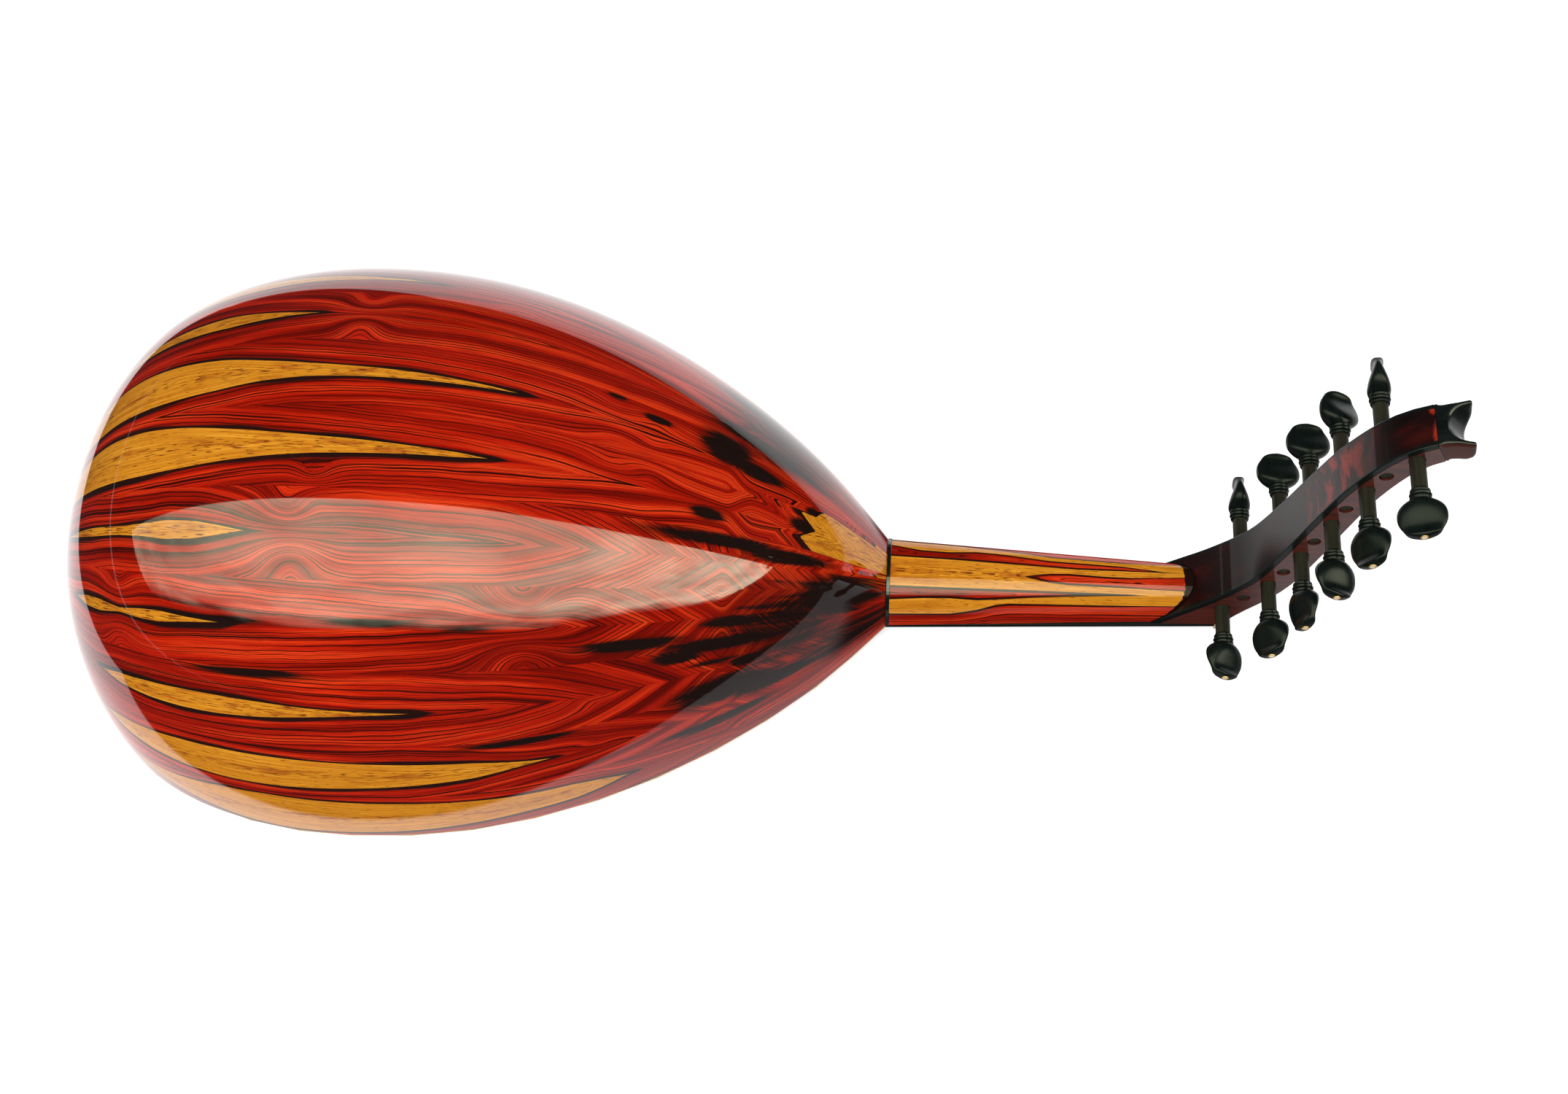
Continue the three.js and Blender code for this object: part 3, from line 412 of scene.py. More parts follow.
def rim_line():
    """x and half width at even steps along the rim, from the neck to the tail."""
    along, wide = np.array(OUTLINE_SHARES)
    x, half = JOINT_X + along * (TAIL_X - JOINT_X), wide * HALF_WIDTH
    knots = np.concatenate([[0], np.cumsum(np.sqrt(np.hypot(np.diff(x), np.diff(half))))])
    fine = np.linspace(0, knots[-1], 8 * OUTLINE_STEPS)
    fine_x, fine_half = smooth_line(knots, x, fine), smooth_line(knots, half, fine)
    run = np.concatenate([[0], np.cumsum(np.hypot(np.diff(fine_x), np.diff(fine_half)))])
    even = np.linspace(0, run[-1], OUTLINE_STEPS + 1)
    return np.interp(even, run, fine_x), np.minimum(np.interp(even, run, fine_half), HALF_WIDTH)


RIM_X, RIM_HALF = rim_line()


def fullness(c, s):
    """How far a slightly squared circle reaches in the direction of c and s."""
    return (abs(c) ** FULLNESS + abs(s) ** FULLNESS) ** (-1 / FULLNESS)


def seam_angle(seam):
    share = seam / RIB_COUNT
    return math.pi * share + SEAM_SHIFT * math.sin(math.pi * share**3) ** 2


def bowl_point(step, seam):
    """A point of the bowl: step counts along the rim from the neck, and seam counts ribs."""
    angle = seam_angle(seam)
    c, s = math.cos(angle), math.sin(angle)
    reach = RIM_HALF[step] * fullness(c, s)
    return Vector((RIM_X[step], reach * c, RIM_Z + DEPTH_RATIO * reach * s))


print("bowl length and half width in mm:", round((JOINT_X - TAIL_X) / MM), round(HALF_WIDTH / MM))

# %% [markdown]
# Each piece is shaped as a bmesh. One function turns it into an object: it shades the piece smooth
# up to its corners, hangs it on its body of the frame, and hides the solid that it stands for. Another
# takes a merged copy of a solid whose shape is right, so that it can have softened corners.

# %% Finish a piece
CORNER = math.radians(35)


def body_of(node):
    bodies = frame["record"]["behaviour"]["bodies"]
    return next(name for name, nodes in bodies.items() if node in nodes)


def finish_piece(name, piece_bm, materials, node, slot, soften=0, corner=CORNER):
    for face in piece_bm.faces:
        face.smooth = True
    for edge in piece_bm.edges:
        edge.smooth = edge.is_manifold and edge.calc_face_angle(0) < corner
    made = placed(name, mesh_of(piece_bm, name))
    for material in materials:
        made.data.materials.append(material)
    if soften:
        bevel = made.modifiers.new("soft_corners", "BEVEL")
        bevel.width = soften
        bevel.segments = 2
        bevel.limit_method = "ANGLE"
        bevel.angle_limit = corner
    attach(made, body_of(node))
    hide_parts(node)


def copied(node):
    """A merged copy of a solid's mesh."""
    copy_bm = bmesh.new()
    copy_bm.from_mesh(frame["nodes"][node].data)
    bmesh.ops.remove_doubles(copy_bm, verts=copy_bm.verts, dist=0.01 * MM)
    flat = math.radians(0.5)
    bmesh.ops.dissolve_limit(copy_bm, angle_limit=flat, verts=copy_bm.verts, edges=copy_bm.edges)
    return copy_bm


def swept(rows, columns, place):
    """A grid whose corners go to place(row share, column share), closed round and at both ends."""
    sheet_bm = bmesh.new()
    bmesh.ops.create_grid(sheet_bm, x_segments=rows, y_segments=columns, size=0.5)
    for vertex in sheet_bm.verts:
        vertex.co = place(vertex.co.x + 0.5, vertex.co.y + 0.5)
    bmesh.ops.remove_doubles(sheet_bm, verts=sheet_bm.verts, dist=0.001 * MM)
    open_edges = [edge for edge in sheet_bm.edges if edge.is_boundary]
    if open_edges:
        bmesh.ops.holes_fill(sheet_bm, edges=open_edges, sides=0)
    bmesh.ops.recalc_face_normals(sheet_bm, faces=sheet_bm.faces)
    return sheet_bm


# %% [markdown]
# The ribs are sawn one after another from one plank, and every second one is turned over, so the
# figure is mirrored at every seam. Yellow sapwood was left on one edge of each rib, and at every second
# seam two such edges meet in a long pointed lens. Each table has places along the oud, in millimetres
# from the neck joint, and how wide the sapwood is there, as a share of a rib. The lenses could be
# painted, but from tables the grain lines can run alongside the sapwood's edge, as they do in a tree.

# %% Say where the sapwood lies
SAPWOOD = {
    23: ([-432, -407, -385, -365, -340, -300, -265, -230, -200, -170, -155, -142],
         [0, 0.4, 0.65, 0.85, 0.93, 0.85, 0.77, 0.63, 0.5, 0.43, 0.25, 0]),
    21: ([-440, -425, -407, -385, -360, -330, -300, -265, -240, -220, -205, -192, -180],
         [0, 0.3, 0.45, 0.56, 0.585, 0.565, 0.51, 0.44, 0.37, 0.3, 0.18, 0.07, 0]),
    19: ([-431, -418, -400, -377, -355, -330, -305, -277, -250],
         [0, 0.16, 0.23, 0.26, 0.25, 0.2, 0.12, 0.05, 0]),
    17: ([-449, -440, -427, -412, -397, -385, -370, -350], [0, 0.15, 0.16, 0.05, 0.12, 0.13, 0.06, 0]),
    15: ([-462, -450, -435, -415, -397, -382, -365, -350, -336],
         [0, 0.08, 0.125, 0.11, 0.15, 0.22, 0.2, 0.107, 0]),
    13: ([-490, -465, -447, -427, -402, -377, -352, -327, -302, -277, -252, -227, -212],
         [0.4, 0.6, 0.66, 0.67, 0.63, 0.53, 0.4, 0.29, 0.21, 0.16, 0.107, 0.06, 0]),
    11: ([-490, -465, -440, -415, -390, -365, -340, -315, -290, -265, -240, -215, -202],
         [0.4, 0.62, 0.68, 0.65, 0.58, 0.48, 0.31, 0.2, 0.15, 0.12, 0.085, 0.04, 0]),
    9: ([-490, -440, -405, -390, -370, -350, -335, -319], [0.1, 0.15, 0.2, 0.23, 0.25, 0.15, 0.07, 0]),
    7: ([-455, -430, -400, -370, -340, -300, -262], [0, 0.2, 0.3, 0.33, 0.24, 0.12, 0]),
    5: ([-440, -420, -390, -350, -300, -250, -210, -190], [0, 0.3, 0.46, 0.5, 0.42, 0.27, 0.1, 0]),
    3: ([-445, -420, -390, -350, -310, -270, -240], [0, 0.25, 0.38, 0.4, 0.3, 0.16, 0]),
    1: ([-430, -400, -370, -330, -280, -230, -190, -150], [0, 0.45, 0.7, 0.85, 0.76, 0.6, 0.4, 0]),
}
TAIL_MM = -490
PAST_TIP_SLOPE = 0.055
PAST_TIP_BEND = 0.0028
STRAIGHT_BEND = 0.0005
BEND_START = -215
LAST_STRAIGHT_SEAM = 13
BEFORE_TIP_SLOPE = 0.10
RETURN_X, RETURN_SLOPE, RETURN_LIMIT = -88, 0.75, -6
EDGE_SMOOTHING = 9


def sapwood_edge(seam):
    """How far the sapwood reaches from its seam, in mm, at each mm from the tail to the neck."""
    places, shares = SAPWOOD[seam]
    x = np.arange(TAIL_MM, 1.0)
    half = np.interp(x, (RIM_X[::-1] - JOINT_X) / MM, RIM_HALF[::-1] / MM)
    reach = np.interp(x, places, shares) * half * math.pi / RIB_COUNT
    past = np.maximum(x - places[-1], 0)
    before = np.maximum(places[0] - x, 0)
    bend = STRAIGHT_BEND if seam <= LAST_STRAIGHT_SEAM else PAST_TIP_BEND
    bent = np.maximum(x - max(places[-1], BEND_START), 0)
    reach = reach - PAST_TIP_SLOPE * past - bend * bent**2 - BEFORE_TIP_SLOPE * before
    turned_back = np.interp(RETURN_X, x, reach) + RETURN_SLOPE * (x - RETURN_X)
    reach = np.where(x > RETURN_X, np.minimum(turned_back, RETURN_LIMIT), reach)
    blur = np.hanning(EDGE_SMOOTHING + 2)
    padded = np.pad(reach, EDGE_SMOOTHING // 2 + 1, mode="edge")
    return x, np.convolve(padded, blur / blur.sum(), mode="valid")


SAPWOOD_EDGES = {seam: sapwood_edge(seam) for seam in SAPWOOD}
print("sapwood lenses:", len(SAPWOOD_EDGES))

# %% [markdown]
# Knots and eyes push the grain lines aside. Each has its place along the oud, its distance from the lens
# seam as a share of the rib, its length and its width, how high it pushes the lines, how strongly it
# pulls them together, and the first and last rib that it runs through. Dark burr and black streaks
# are ellipses: a place, a seam number, a half length, and a half width in ribs.

# %% List the knots and the dark streaks
KNOTS = [
    (-292, 0.0, 13, 0.7, 0, 1.7, 8, 9),
    (-300, 1.0, 10, 0.5, 0, 1.2, 13, 14),
    (-310, 0.0, 18, 0.8, 0, 1.75, 14, 15),
    (-413, 0.65, 11, 0.3, 5.0, 0, 16, 17),
    (-191, 0.15, 20, 0.9, 0, 2.4, 16, 17),
    (-184, 0.45, 9, 0.3, 3.0, 0, 16, 16),
    (-150, 0.55, 12, 0.3, 3.5, 0, 10, 12),
    (-128, 0.45, 10, 0.25, -3.0, 0, 10, 12),
    (-133, 0.8, 18, 0.35, -3.0, 0, 12, 13),
    (-157, 0.15, 9, 0.25, 3.5, 0, 19, 20),
    (-90, 0.3, 16, 0.5, 4.0, 0, 17, 20),
    (-70, 0.6, 18, 0.6, -1.6, 0, 8, 22),
    (-250, 0.9, 30, 0.3, -2.5, 0, 18, 21),
    (-210, 0.6, 14, 0.3, 5.0, 0, 4, 7),
    (-330, 0.5, 15, 0.3, 4.5, 0, 2, 5),
]
DARK_STREAKS = [
    (-91, 10.3, 15, 0.75), (-74, 10.7, 15, 0.45), (-70, 9.0, 32, 0.5), (-128, 10.4, 8, 0.14),
    (-151, 10.1, 6, 0.08), (-98, 13.35, 9, 0.26), (-93, 14.22, 38, 0.26), (-56, 14.45, 26, 0.34),
    (-47, 12.55, 8, 0.45), (-42, 11.35, 5, 0.3), (-134, 17.62, 30, 0.2), (-112, 18.2, 14, 0.22),
    (-88, 17.95, 34, 0.3), (-92, 18.65, 16, 0.1), (-75, 18.95, 10, 0.28), (-88, 20.0, 30, 0.65),
    (-26, 16.6, 26, 1.5), (-82, 17.2, 18, 0.25), (-195, 20.15, 34, 0.12), (-60, 20.6, 26, 0.5),
    (-352, 16.93, 28, 0.09), (-268, 16.86, 28, 0.09), (-216, 16.97, 16, 0.05), (-335, 18.1, 36, 0.11),
    (-66, 6.2, 36, 0.9), (-120, 4.4, 26, 0.4), (-90, 21.8, 30, 0.3), (-80, 2.6, 30, 0.6),
    (-52, 17.8, 46, 2.6), (-62, 8.0, 42, 2.4), (-20, 20.0, 40, 2.5),
]
BROAD_STREAK, BROAD_STRENGTH = 2, 0.62
print("knots and dark streaks:", len(KNOTS), len(DARK_STREAKS))

# %% [markdown]
# The rib itself starts as a flat grid. Its rows are laid on the bowl between two seams, and solidify
# gives it its 3 mm. The distance from the sapwood's edge is stored on every corner of the mesh, so
# that the finish can draw grain lines parallel to it.

# %% Bend the ribs
ACROSS_STEPS = 12
NECK_SAPWOOD = (
    [10.1, 10.2, 10.8, 10.88, 11.16, 11.6, 11.68, 12.55, 13.2, 13.9, 13.98, 14.2, 14.3, 14.7, 14.8],
    [30, -7, -7, -36, -38.5, -41, -49.5, -40.5, -49, -41.5, 30, 30, -7, -5, 30],
)
NECK_SAPWOOD_SLOPE = 0.6
KNOT_REACH = 8
FULL_KNOT_DISTANCE = 5
LEAST_KNOT_EDGE = 2.4


def figure_at(rib, x, across, width):
    """Distance from the sapwood's edge in mm: x in mm, across is the share of the rib from its far seam."""
    places, reach = SAPWOOD_EDGES[rib if rib % 2 else rib + 1]
    share = across if rib % 2 else 1 - across
    plain = share * width - np.interp(x, places, reach)
    edge = plain
    if plain > 0:
        room = min(1, plain / FULL_KNOT_DISTANCE)
        for knot_x, knot_share, length, spread, height, pull, first, last in KNOTS:
            along = ((x - knot_x) / length) ** 2
            if first <= rib <= last and along < KNOT_REACH:
                aside = share - knot_share
                hill = math.exp(-along - (aside / spread) ** 2)
                edge += room * hill * (height + pull * aside * width)
        edge = max(edge, min(plain, 0.75 * LEAST_KNOT_EDGE + 0.25 * plain))
    border = np.interp(rib + across, *NECK_SAPWOOD)
    return min(edge, (border - x) * NECK_SAPWOOD_SLOPE) if border < 0 else edge


def darkness_at(x, seam):
    """How dark the wood is burnt or streaked, from 0 to 1."""
    dark = 0
    for streak_x, streak_seam, length, spread in DARK_STREAKS:
        hill = math.exp(-(((x - streak_x) / length) ** 2) - ((seam - streak_seam) / spread) ** 2)
        dark = max(dark, hill if spread < BROAD_STREAK else BROAD_STRENGTH * hill)
    return dark


def store_figure(piece_bm, figure_of):
    """Stores on every corner what the red wood's finish reads."""
    names = ("sapwood_edge", "seam_distance", "darkness", "slice")
    layers = [piece_bm.verts.layers.float.new(name) for name in names]
    for vertex in piece_bm.verts:
        for layer, value in zip(layers, figure_of(vertex.co)):
            vertex[layer] = value


def rib_mesh(rib):
    rib_bm = bmesh.new()
    bmesh.ops.create_grid(rib_bm, x_segments=OUTLINE_STEPS, y_segments=ACROSS_STEPS, size=0.5)

    def grid_place(spot):
        return round((spot.x + 0.5) * OUTLINE_STEPS), spot.y + 0.5

    def figure_of(spot):
        step, across = grid_place(spot)
        width = RIM_HALF[step] * math.pi / RIB_COUNT / MM
        share = across if rib % 2 else 1 - across
        x = (RIM_X[step] - JOINT_X) / MM
        return figure_at(rib, x, across, width) * MM, share * width * MM, darkness_at(x, rib + across), rib

    store_figure(rib_bm, figure_of)
    for vertex in rib_bm.verts:
        step, across = grid_place(vertex.co)
        vertex.co = bowl_point(step, rib + across)
    bmesh.ops.recalc_face_normals(rib_bm, faces=rib_bm.faces)
    crown = max(rib_bm.faces, key=lambda face: face.calc_center_median().z)
    if crown.normal.z < 0:
        bmesh.ops.reverse_faces(rib_bm, faces=rib_bm.faces)
    bmesh.ops.solidify(rib_bm, geom=rib_bm.faces[:], thickness=RIB_THICKNESS)
    return rib_bm


# %% [markdown]
# The finish of the red wood: crisp dark growth lines follow the sapwood's edge, over red that drifts
# from deep to orange. A black line runs along the sapwood, which is golden with short brown flecks. The
# lines could come from plain noise, but noise smears. So they are the cell walls of an uneven count of
# rings, which stay sharp. Over it all lies a thick clear lacquer, which is the shader's coat.

# %% Mix the red wood's finish
LINE_SPACING = 2.2 * MM
FINE_SPACING = 0.85 * MM
BOLD_RING = 7.6 * MM


def red_wood(name, border=1.5 * MM, wildness=1.0, coat=1.0):
    recipe = Recipe(name)
    x, y, z = recipe.place()
    edge = recipe.attribute("sapwood_edge")
    seam = recipe.attribute("seam_distance")
    slice_number = recipe.attribute("slice")
    darkness = recipe.attribute("darkness")

    def grain(along, across, change, shift=0, detail=0):
        """Noise that is drawn out along the rib and changes from slice to slice."""
        return recipe.noise(x * along, across, slice_number * change + shift, detail)

    wild = x.rise(JOINT_X - 0.28, JOINT_X - 0.06, 0.4, 1.3) * wildness
    away = edge.rise(0.4 * MM, 7 * MM)
    broad = grain(13, edge * 45, 0.16) - 0.5
    small = grain(52, edge * 120, 0.3, 7) - 0.5
    tiny = grain(210, edge * 300, 1, 13) - 0.5
    shifted = edge + away * (broad * wild * 7 * MM + small * 1.3 * MM) + tiny * 0.22 * MM

    rings = shifted / LINE_SPACING + slice_number * 0.05
    fine_rings = shifted / FINE_SPACING + slice_number * 0.05 + 40
    fade = grain(8, rings * 0.75, 0.4, 19)
    width = fade.rise(0.35, 0.7, 0.07, 0.24)
    line = (recipe.ring_gap(rings) / width).rise(0.25, 1.0, 1, 0) * fade.rise(0.3, 0.5, 0.4, 1)
    fine_fade = grain(12, fine_rings * 0.5, 0.4, 23)
    fine_line = recipe.ring_gap(fine_rings).rise(0.03, 0.16, 1, 0)
    fine_line = fine_line * fine_fade.rise(0.33, 0.55, 0.25, 0.95)
    bold = abs(shifted - BOLD_RING).rise(0.22 * MM, 0.62 * MM, 1, 0)
    bold = bold * recipe.noise(x * 7, slice_number * 3.3, 77).rise(0.30, 0.44)

    tone = grain(6, rings * 0.4, 0.3, 29, 2)
    tone = tone + x.rise(JOINT_X - 0.20, JOINT_X - 0.09, 0.0, 0.06)
    top = y.rise(0.02, 0.14, 0.0, 0.09)
    low = y.rise(-0.10, -0.03, 0.08, 0.0) * x.rise(JOINT_X - 0.24, JOINT_X - 0.13)
    red = recipe.ramp(tone - top - low, [
        (0.28, (0.17, 0.003, 0.0008)), (0.42, (0.38, 0.008, 0.0015)),
        (0.53, (0.60, 0.017, 0.0030)), (0.66, (0.86, 0.050, 0.008)),
    ])
    fibre = grain(70, shifted * 3800, 1, 0, 1)
    red = recipe.mix(fibre.rise(0.3, 0.66, 0.38, 0), red, (0.06, 0.002, 0.001))
    red = recipe.mix((line * 0.93).most(fine_line).most(bold), red, (0.020, 0.003, 0.002))
    red = recipe.mix(darkness.rise(0.06, 0.6, 0, 0.8), red, (0.055, 0.004, 0.001))
    ragged = grain(18, seam * 240, 1, 41, 3) - 0.5
    ragged = ragged + (grain(40, shifted * 800, 1, 43, 1) - 0.5) * 0.45
    burnt = (darkness * 1.2 + ragged * 1.3).rise(0.38, 0.74)
    near_side = slice_number.math("MODULO", slice_number, 2)
    edge_width = border * (near_side * 0.3 + 1.25)
    edge_width = edge_width * recipe.noise(x * 17, slice_number * 3, 5).rise(0.3, 0.7, 0.6, 1.5)
    edge_width = edge_width * (seam - edge).rise(-0.9 * MM, 0.0, 0.3, 1)
    rim_black = (edge / edge_width).rise(0.75, 1.35, 1, 0)
    red = recipe.mix(burnt.most(rim_black) * 0.97, red, (0.008, 0.005, 0.004))

    streak = grain(14, edge * 900, 1, 53, 2)
    gold = recipe.ramp(streak, [(0.3, (0.50, 0.163, 0.008)), (0.55, (0.66, 0.256, 0.015)),
                                (0.75, (0.82, 0.36, 0.034))])
    cloud = grain(45, seam * 260, 1, 57, 3)
    at_seam = seam.rise(0.0, 7 * MM, 0.8, 0.25)
    gold = recipe.mix(cloud.rise(0.5, 0.70) * at_seam, gold, (0.34, 0.062, 0.007))
    fleck = grain(130, seam * 1500, 1, 61, 1)
    dense = seam.rise(0.0, 6 * MM, 0.57, 0.655)
    gold = recipe.mix((fleck - dense).rise(0.0, 0.03, 0, 0.85), gold, (0.14, 0.026, 0.005))
    sap = edge.rise(-0.12 * MM, 0.10 * MM, 1, 0)
    color = recipe.mix(sap, red, gold)
    relief = recipe.bump(fine_line + line, 0.02 * MM, 0.2)
    lacquer = darkness.rise(1.2, 2.0, 1.0, 0.27) * coat
    return recipe.finish(color, 0.5, relief, lacquer, 0.035, base_gloss=0.0)


RIB_FINISH = red_wood("bowl_cocobolo")
for rib in range(RIB_COUNT):
    node_name = f"rib_{rib + 1:02d}"
    finish_piece(f"bent_{node_name}", rib_mesh(rib), [RIB_FINISH], node_name, "bowl_cocobolo")
print("ribs bent:", RIB_COUNT)

# %% [markdown]
# The neck is a half-round bar. It is glued up from strips of the same wood, so the yellow runs in long
# bands, and a dark red wedge opens in the widest one. The bands are tables again: the angle round
# the neck, in degrees from its far edge, along the neck in millimetres from the bowl. The bar's end is
# hollowed to lie against the curved back of the pegbox.

# %% Shape the neck
NECK_START, NECK_SEAT_Z = JOINT_X + 2.2 * MM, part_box("fingerboard")[1].z
NECK_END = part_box("fingerboard")[1].x
NUT_HALF_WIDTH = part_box("nut")[1].y
NECK_HALF_WIDTH = 27 * MM
NECK_DEPTHS = (DEPTH_RATIO * NECK_HALF_WIDTH - 1 * MM, 23 * MM)
BED = ([0, 5, 9, 14, 18, 23, 27, 31], [157.1, 161.7, 166.3, 170.9, 175.7, 180.4, 184.6, 188.6])
NECK_BANDS = [
    (([0, 40, 56, 82, 96, 139, 165, 185], [42, 46, 51.2, 57.5, 63.8, 67.5, 64.5, 58]),
     ([0, 10, 20, 37, 53, 70, 96, 139, 164, 185], [56, 61, 65.2, 66, 61.8, 64.2, 71.8, 74.5, 81, 82])),
    (([0, 22, 38, 54, 70, 86, 107, 128, 164, 185],
      [136.2, 133.2, 132.5, 134.2, 131.5, 128.2, 125, 122.5, 118.9, 118]),
     ([0, 38, 46, 54, 65, 72, 129, 185], [156.2, 155.5, 152.5, 148.5, 140, 137.8, 137, 135])),
    (([0, 60, 120, 185], [18, 21, 15, 12]), ([0, 60, 120, 185], [27, 32, 34, 30])),
]
WIDE_BAND = (([0, 37, 81, 112, 144, 185], [78.5, 79.5, 82.2, 84.8, 83.5, 81.5]),
             ([0, 185], [118.2, 118.2]))
WEDGE = (([80, 86, 96, 107, 128, 144, 160, 185], [99.8, 97, 93.5, 92.2, 93.8, 93.8, 91.5, 87]),
         ([80, 86, 96, 107, 144, 185], [99.8, 102, 106.5, 108.8, 109.8, 111]))
WEDGE_TIP = 80
VENEER_LAP = ([0, 40, 75, 95, 115, 135, 150], [2, 2, 5, 5, 3, 1, 0])
LAP_DARKNESS, LAP_EDGE, NECK_DARKNESS = 3, 3 * MM, 0.2
NECK_SLICE = 30
NECK_CENTRE_DEGREES = 98
NECK_ROWS, NECK_COLUMNS = 220, 96
ROUND_SHARE = 0.75


def band_distance(band, x, degrees):
    """How many degrees a point lies outside a band, or below 0 inside it."""
    low, high = band
    return max(np.interp(x, *low) - degrees, degrees - np.interp(x, *high))


def neck_figure(x, degrees, radius):
    wedge = band_distance(WEDGE, x, degrees) + max(0, WEDGE_TIP - x)
    wide = max(band_distance(WIDE_BAND, x, degrees), -wedge)
    outside = min([wide] + [band_distance(band, x, degrees) for band in NECK_BANDS])
    return math.radians(outside) * radius


def neck_place(along, around):
    share = (along * (NECK_END - NECK_START) + NECK_START - JOINT_X) / (NECK_END - JOINT_X)
    half = NECK_HALF_WIDTH + (NUT_HALF_WIDTH - NECK_HALF_WIDTH) * share
    rise = NECK_DEPTHS[0] + (NECK_DEPTHS[1] - NECK_DEPTHS[0]) * share
    turn = math.pi * min(1, around / ROUND_SHARE)
    c, s = math.cos(turn), math.sin(turn)
    reach = fullness(c, s)
    y, up = half * reach * c, rise * reach * max(0, s)
    if around > ROUND_SHARE:
        y, up = half * (-1 + 2 * (around - ROUND_SHARE) / (1 - ROUND_SHARE)), 0
    bed_x = JOINT_X + np.interp(up / MM, *BED) * MM
    x = NECK_START + along * (min(bed_x, NECK_END) - NECK_START)
    return Vector((x, y, NECK_SEAT_Z + up))


def neck_mesh():
    neck_bm = swept(NECK_ROWS, NECK_COLUMNS, neck_place)

    def figure_of(spot):
        x, up = (spot.x - JOINT_X) / MM, (spot.z - NECK_SEAT_Z) / NECK_DEPTHS[0] * NECK_HALF_WIDTH
        degrees = math.degrees(math.atan2(up, spot.y))
        figure = neck_figure(x, degrees, math.hypot(up, spot.y))
        seam = abs(math.radians(degrees - NECK_CENTRE_DEGREES)) * NECK_HALF_WIDTH
        bed_x = np.interp((spot.z - NECK_SEAT_Z) / MM, *BED)
        if bed_x - x < np.interp(degrees, *VENEER_LAP):
            return max(figure, LAP_EDGE), seam, LAP_DARKNESS, NECK_SLICE
        return figure, seam, NECK_DARKNESS, NECK_SLICE

    store_figure(neck_bm, figure_of)
    return neck_bm


NECK_FINISH = red_wood("neck_cocobolo", border=0.7 * MM, wildness=0.25, coat=0.7)
finish_piece("striped_neck", neck_mesh(), [NECK_FINISH], "neck", "neck_cocobolo")
print("neck bands:", len(NECK_BANDS) + 1)

# %% [markdown]
# The other woods and the bone are simpler. Ebony is nearly black with short fine pores. It is left satin
# on the pegs, the fingerboard and the pickguard, and lacquered on the neck's ring. Rosewood is brown
# with darker lines. Spruce has straight pale growth lines a millimetre or two apart. Each could be one
# flat colour, but pores and lines at their real size are what tells them apart.


# %% Mix the plain woods
def lined_wood(name, axes, colors, line_color, spacing, line_strength, roughness, coat=0.0, waves=1.0):
    """Wood with lines along the first axis and across the second."""
    recipe = Recipe(name)
    spot = recipe.place()
    along, across, deep = (spot[axis] for axis in axes)
    bend = (recipe.noise(along * 8, across * 30, deep * 30) - 0.5) * 4 * MM * waves
    shifted = across + deep * 0.35 + bend
    rings = shifted / spacing
    line = recipe.ring_gap(rings).rise(0.02, 0.22, 1, 0)
    line = line * recipe.noise(along * 10, rings * 0.6, 3).rise(0.35, 0.6, 0.3, 1)
    tone = recipe.noise(along * 6, rings * 0.4, deep * 5, 2)
    wood = recipe.ramp(tone, [(0.3, colors[0]), (0.7, colors[1])])
    pore = recipe.noise(along * 180, shifted * 3500, deep * 900, 1)
    wood = recipe.mix(line * line_strength, wood, line_color)
    wood = recipe.mix(pore.rise(0.6, 0.7, 0, 0.45), wood, line_color)
    gloss = recipe.noise(along * 40, across * 40, deep * 40, 2).rise(0.3, 0.7, -0.05, 0.05) + roughness
    return recipe.finish(wood, gloss, recipe.bump(pore, 0.04 * MM, 0.25), coat, base_gloss=0.12)


ALONG_X, ALONG_Y, ALONG_X_UPRIGHT = (0, 1, 2), (1, 0, 2), (0, 2, 1)
EBONY_COLORS = [(0.003, 0.006, 0.005), (0.006, 0.010, 0.008)]
PORE_BLACK = (0.002, 0.003, 0.003)
EBONY = lined_wood("ebony", ALONG_X, EBONY_COLORS, PORE_BLACK, 2 * MM, 0.5, 0.32)
SHINY_EBONY = lined_wood("polished_ebony", ALONG_X, EBONY_COLORS, PORE_BLACK, 2 * MM, 0.5, 0.3, 0.8)
PEG_EBONY = lined_wood("peg_ebony", ALONG_Y, EBONY_COLORS, PORE_BLACK, 1.6 * MM, 0.5, 0.28, waves=0.4)
SHAFT_WOOD = lined_wood("peg_shaft_rosewood", ALONG_Y, [(0.014, 0.014, 0.008), (0.034, 0.032, 0.019)],
                        (0.008, 0.007, 0.005), 1.1 * MM, 0.6, 0.45)
ROSEWOOD = lined_wood("bridge_rosewood", ALONG_Y, [(0.06, 0.022, 0.012), (0.13, 0.05, 0.026)],
                      (0.02, 0.008, 0.006), 1.5 * MM, 0.7, 0.4)
ROSETTE_WOOD = lined_wood("rosette_rosewood", ALONG_X, [(0.10, 0.035, 0.016), (0.20, 0.08, 0.035)],
                          (0.04, 0.015, 0.01), 1.2 * MM, 0.5, 0.5)
FACE_SPRUCE = lined_wood("soundboard_spruce", ALONG_X, [(0.56, 0.36, 0.17), (0.68, 0.47, 0.25)],
                         (0.40, 0.21, 0.08), 1.6 * MM, 0.5, 0.45, waves=0.15)
BRACE_SPRUCE = lined_wood("inner_spruce", ALONG_Y, [(0.60, 0.42, 0.23), (0.72, 0.54, 0.33)],
                          (0.45, 0.27, 0.12), 1.8 * MM, 0.4, 0.6, waves=0.3)
BOX_WOOD = lined_wood("pegbox_cocobolo", ALONG_X_UPRIGHT, [(0.050, 0.009, 0.006), (0.125, 0.018, 0.009)],
                      (0.014, 0.004, 0.003), 2.2 * MM, 0.6, 0.4, 0.95)


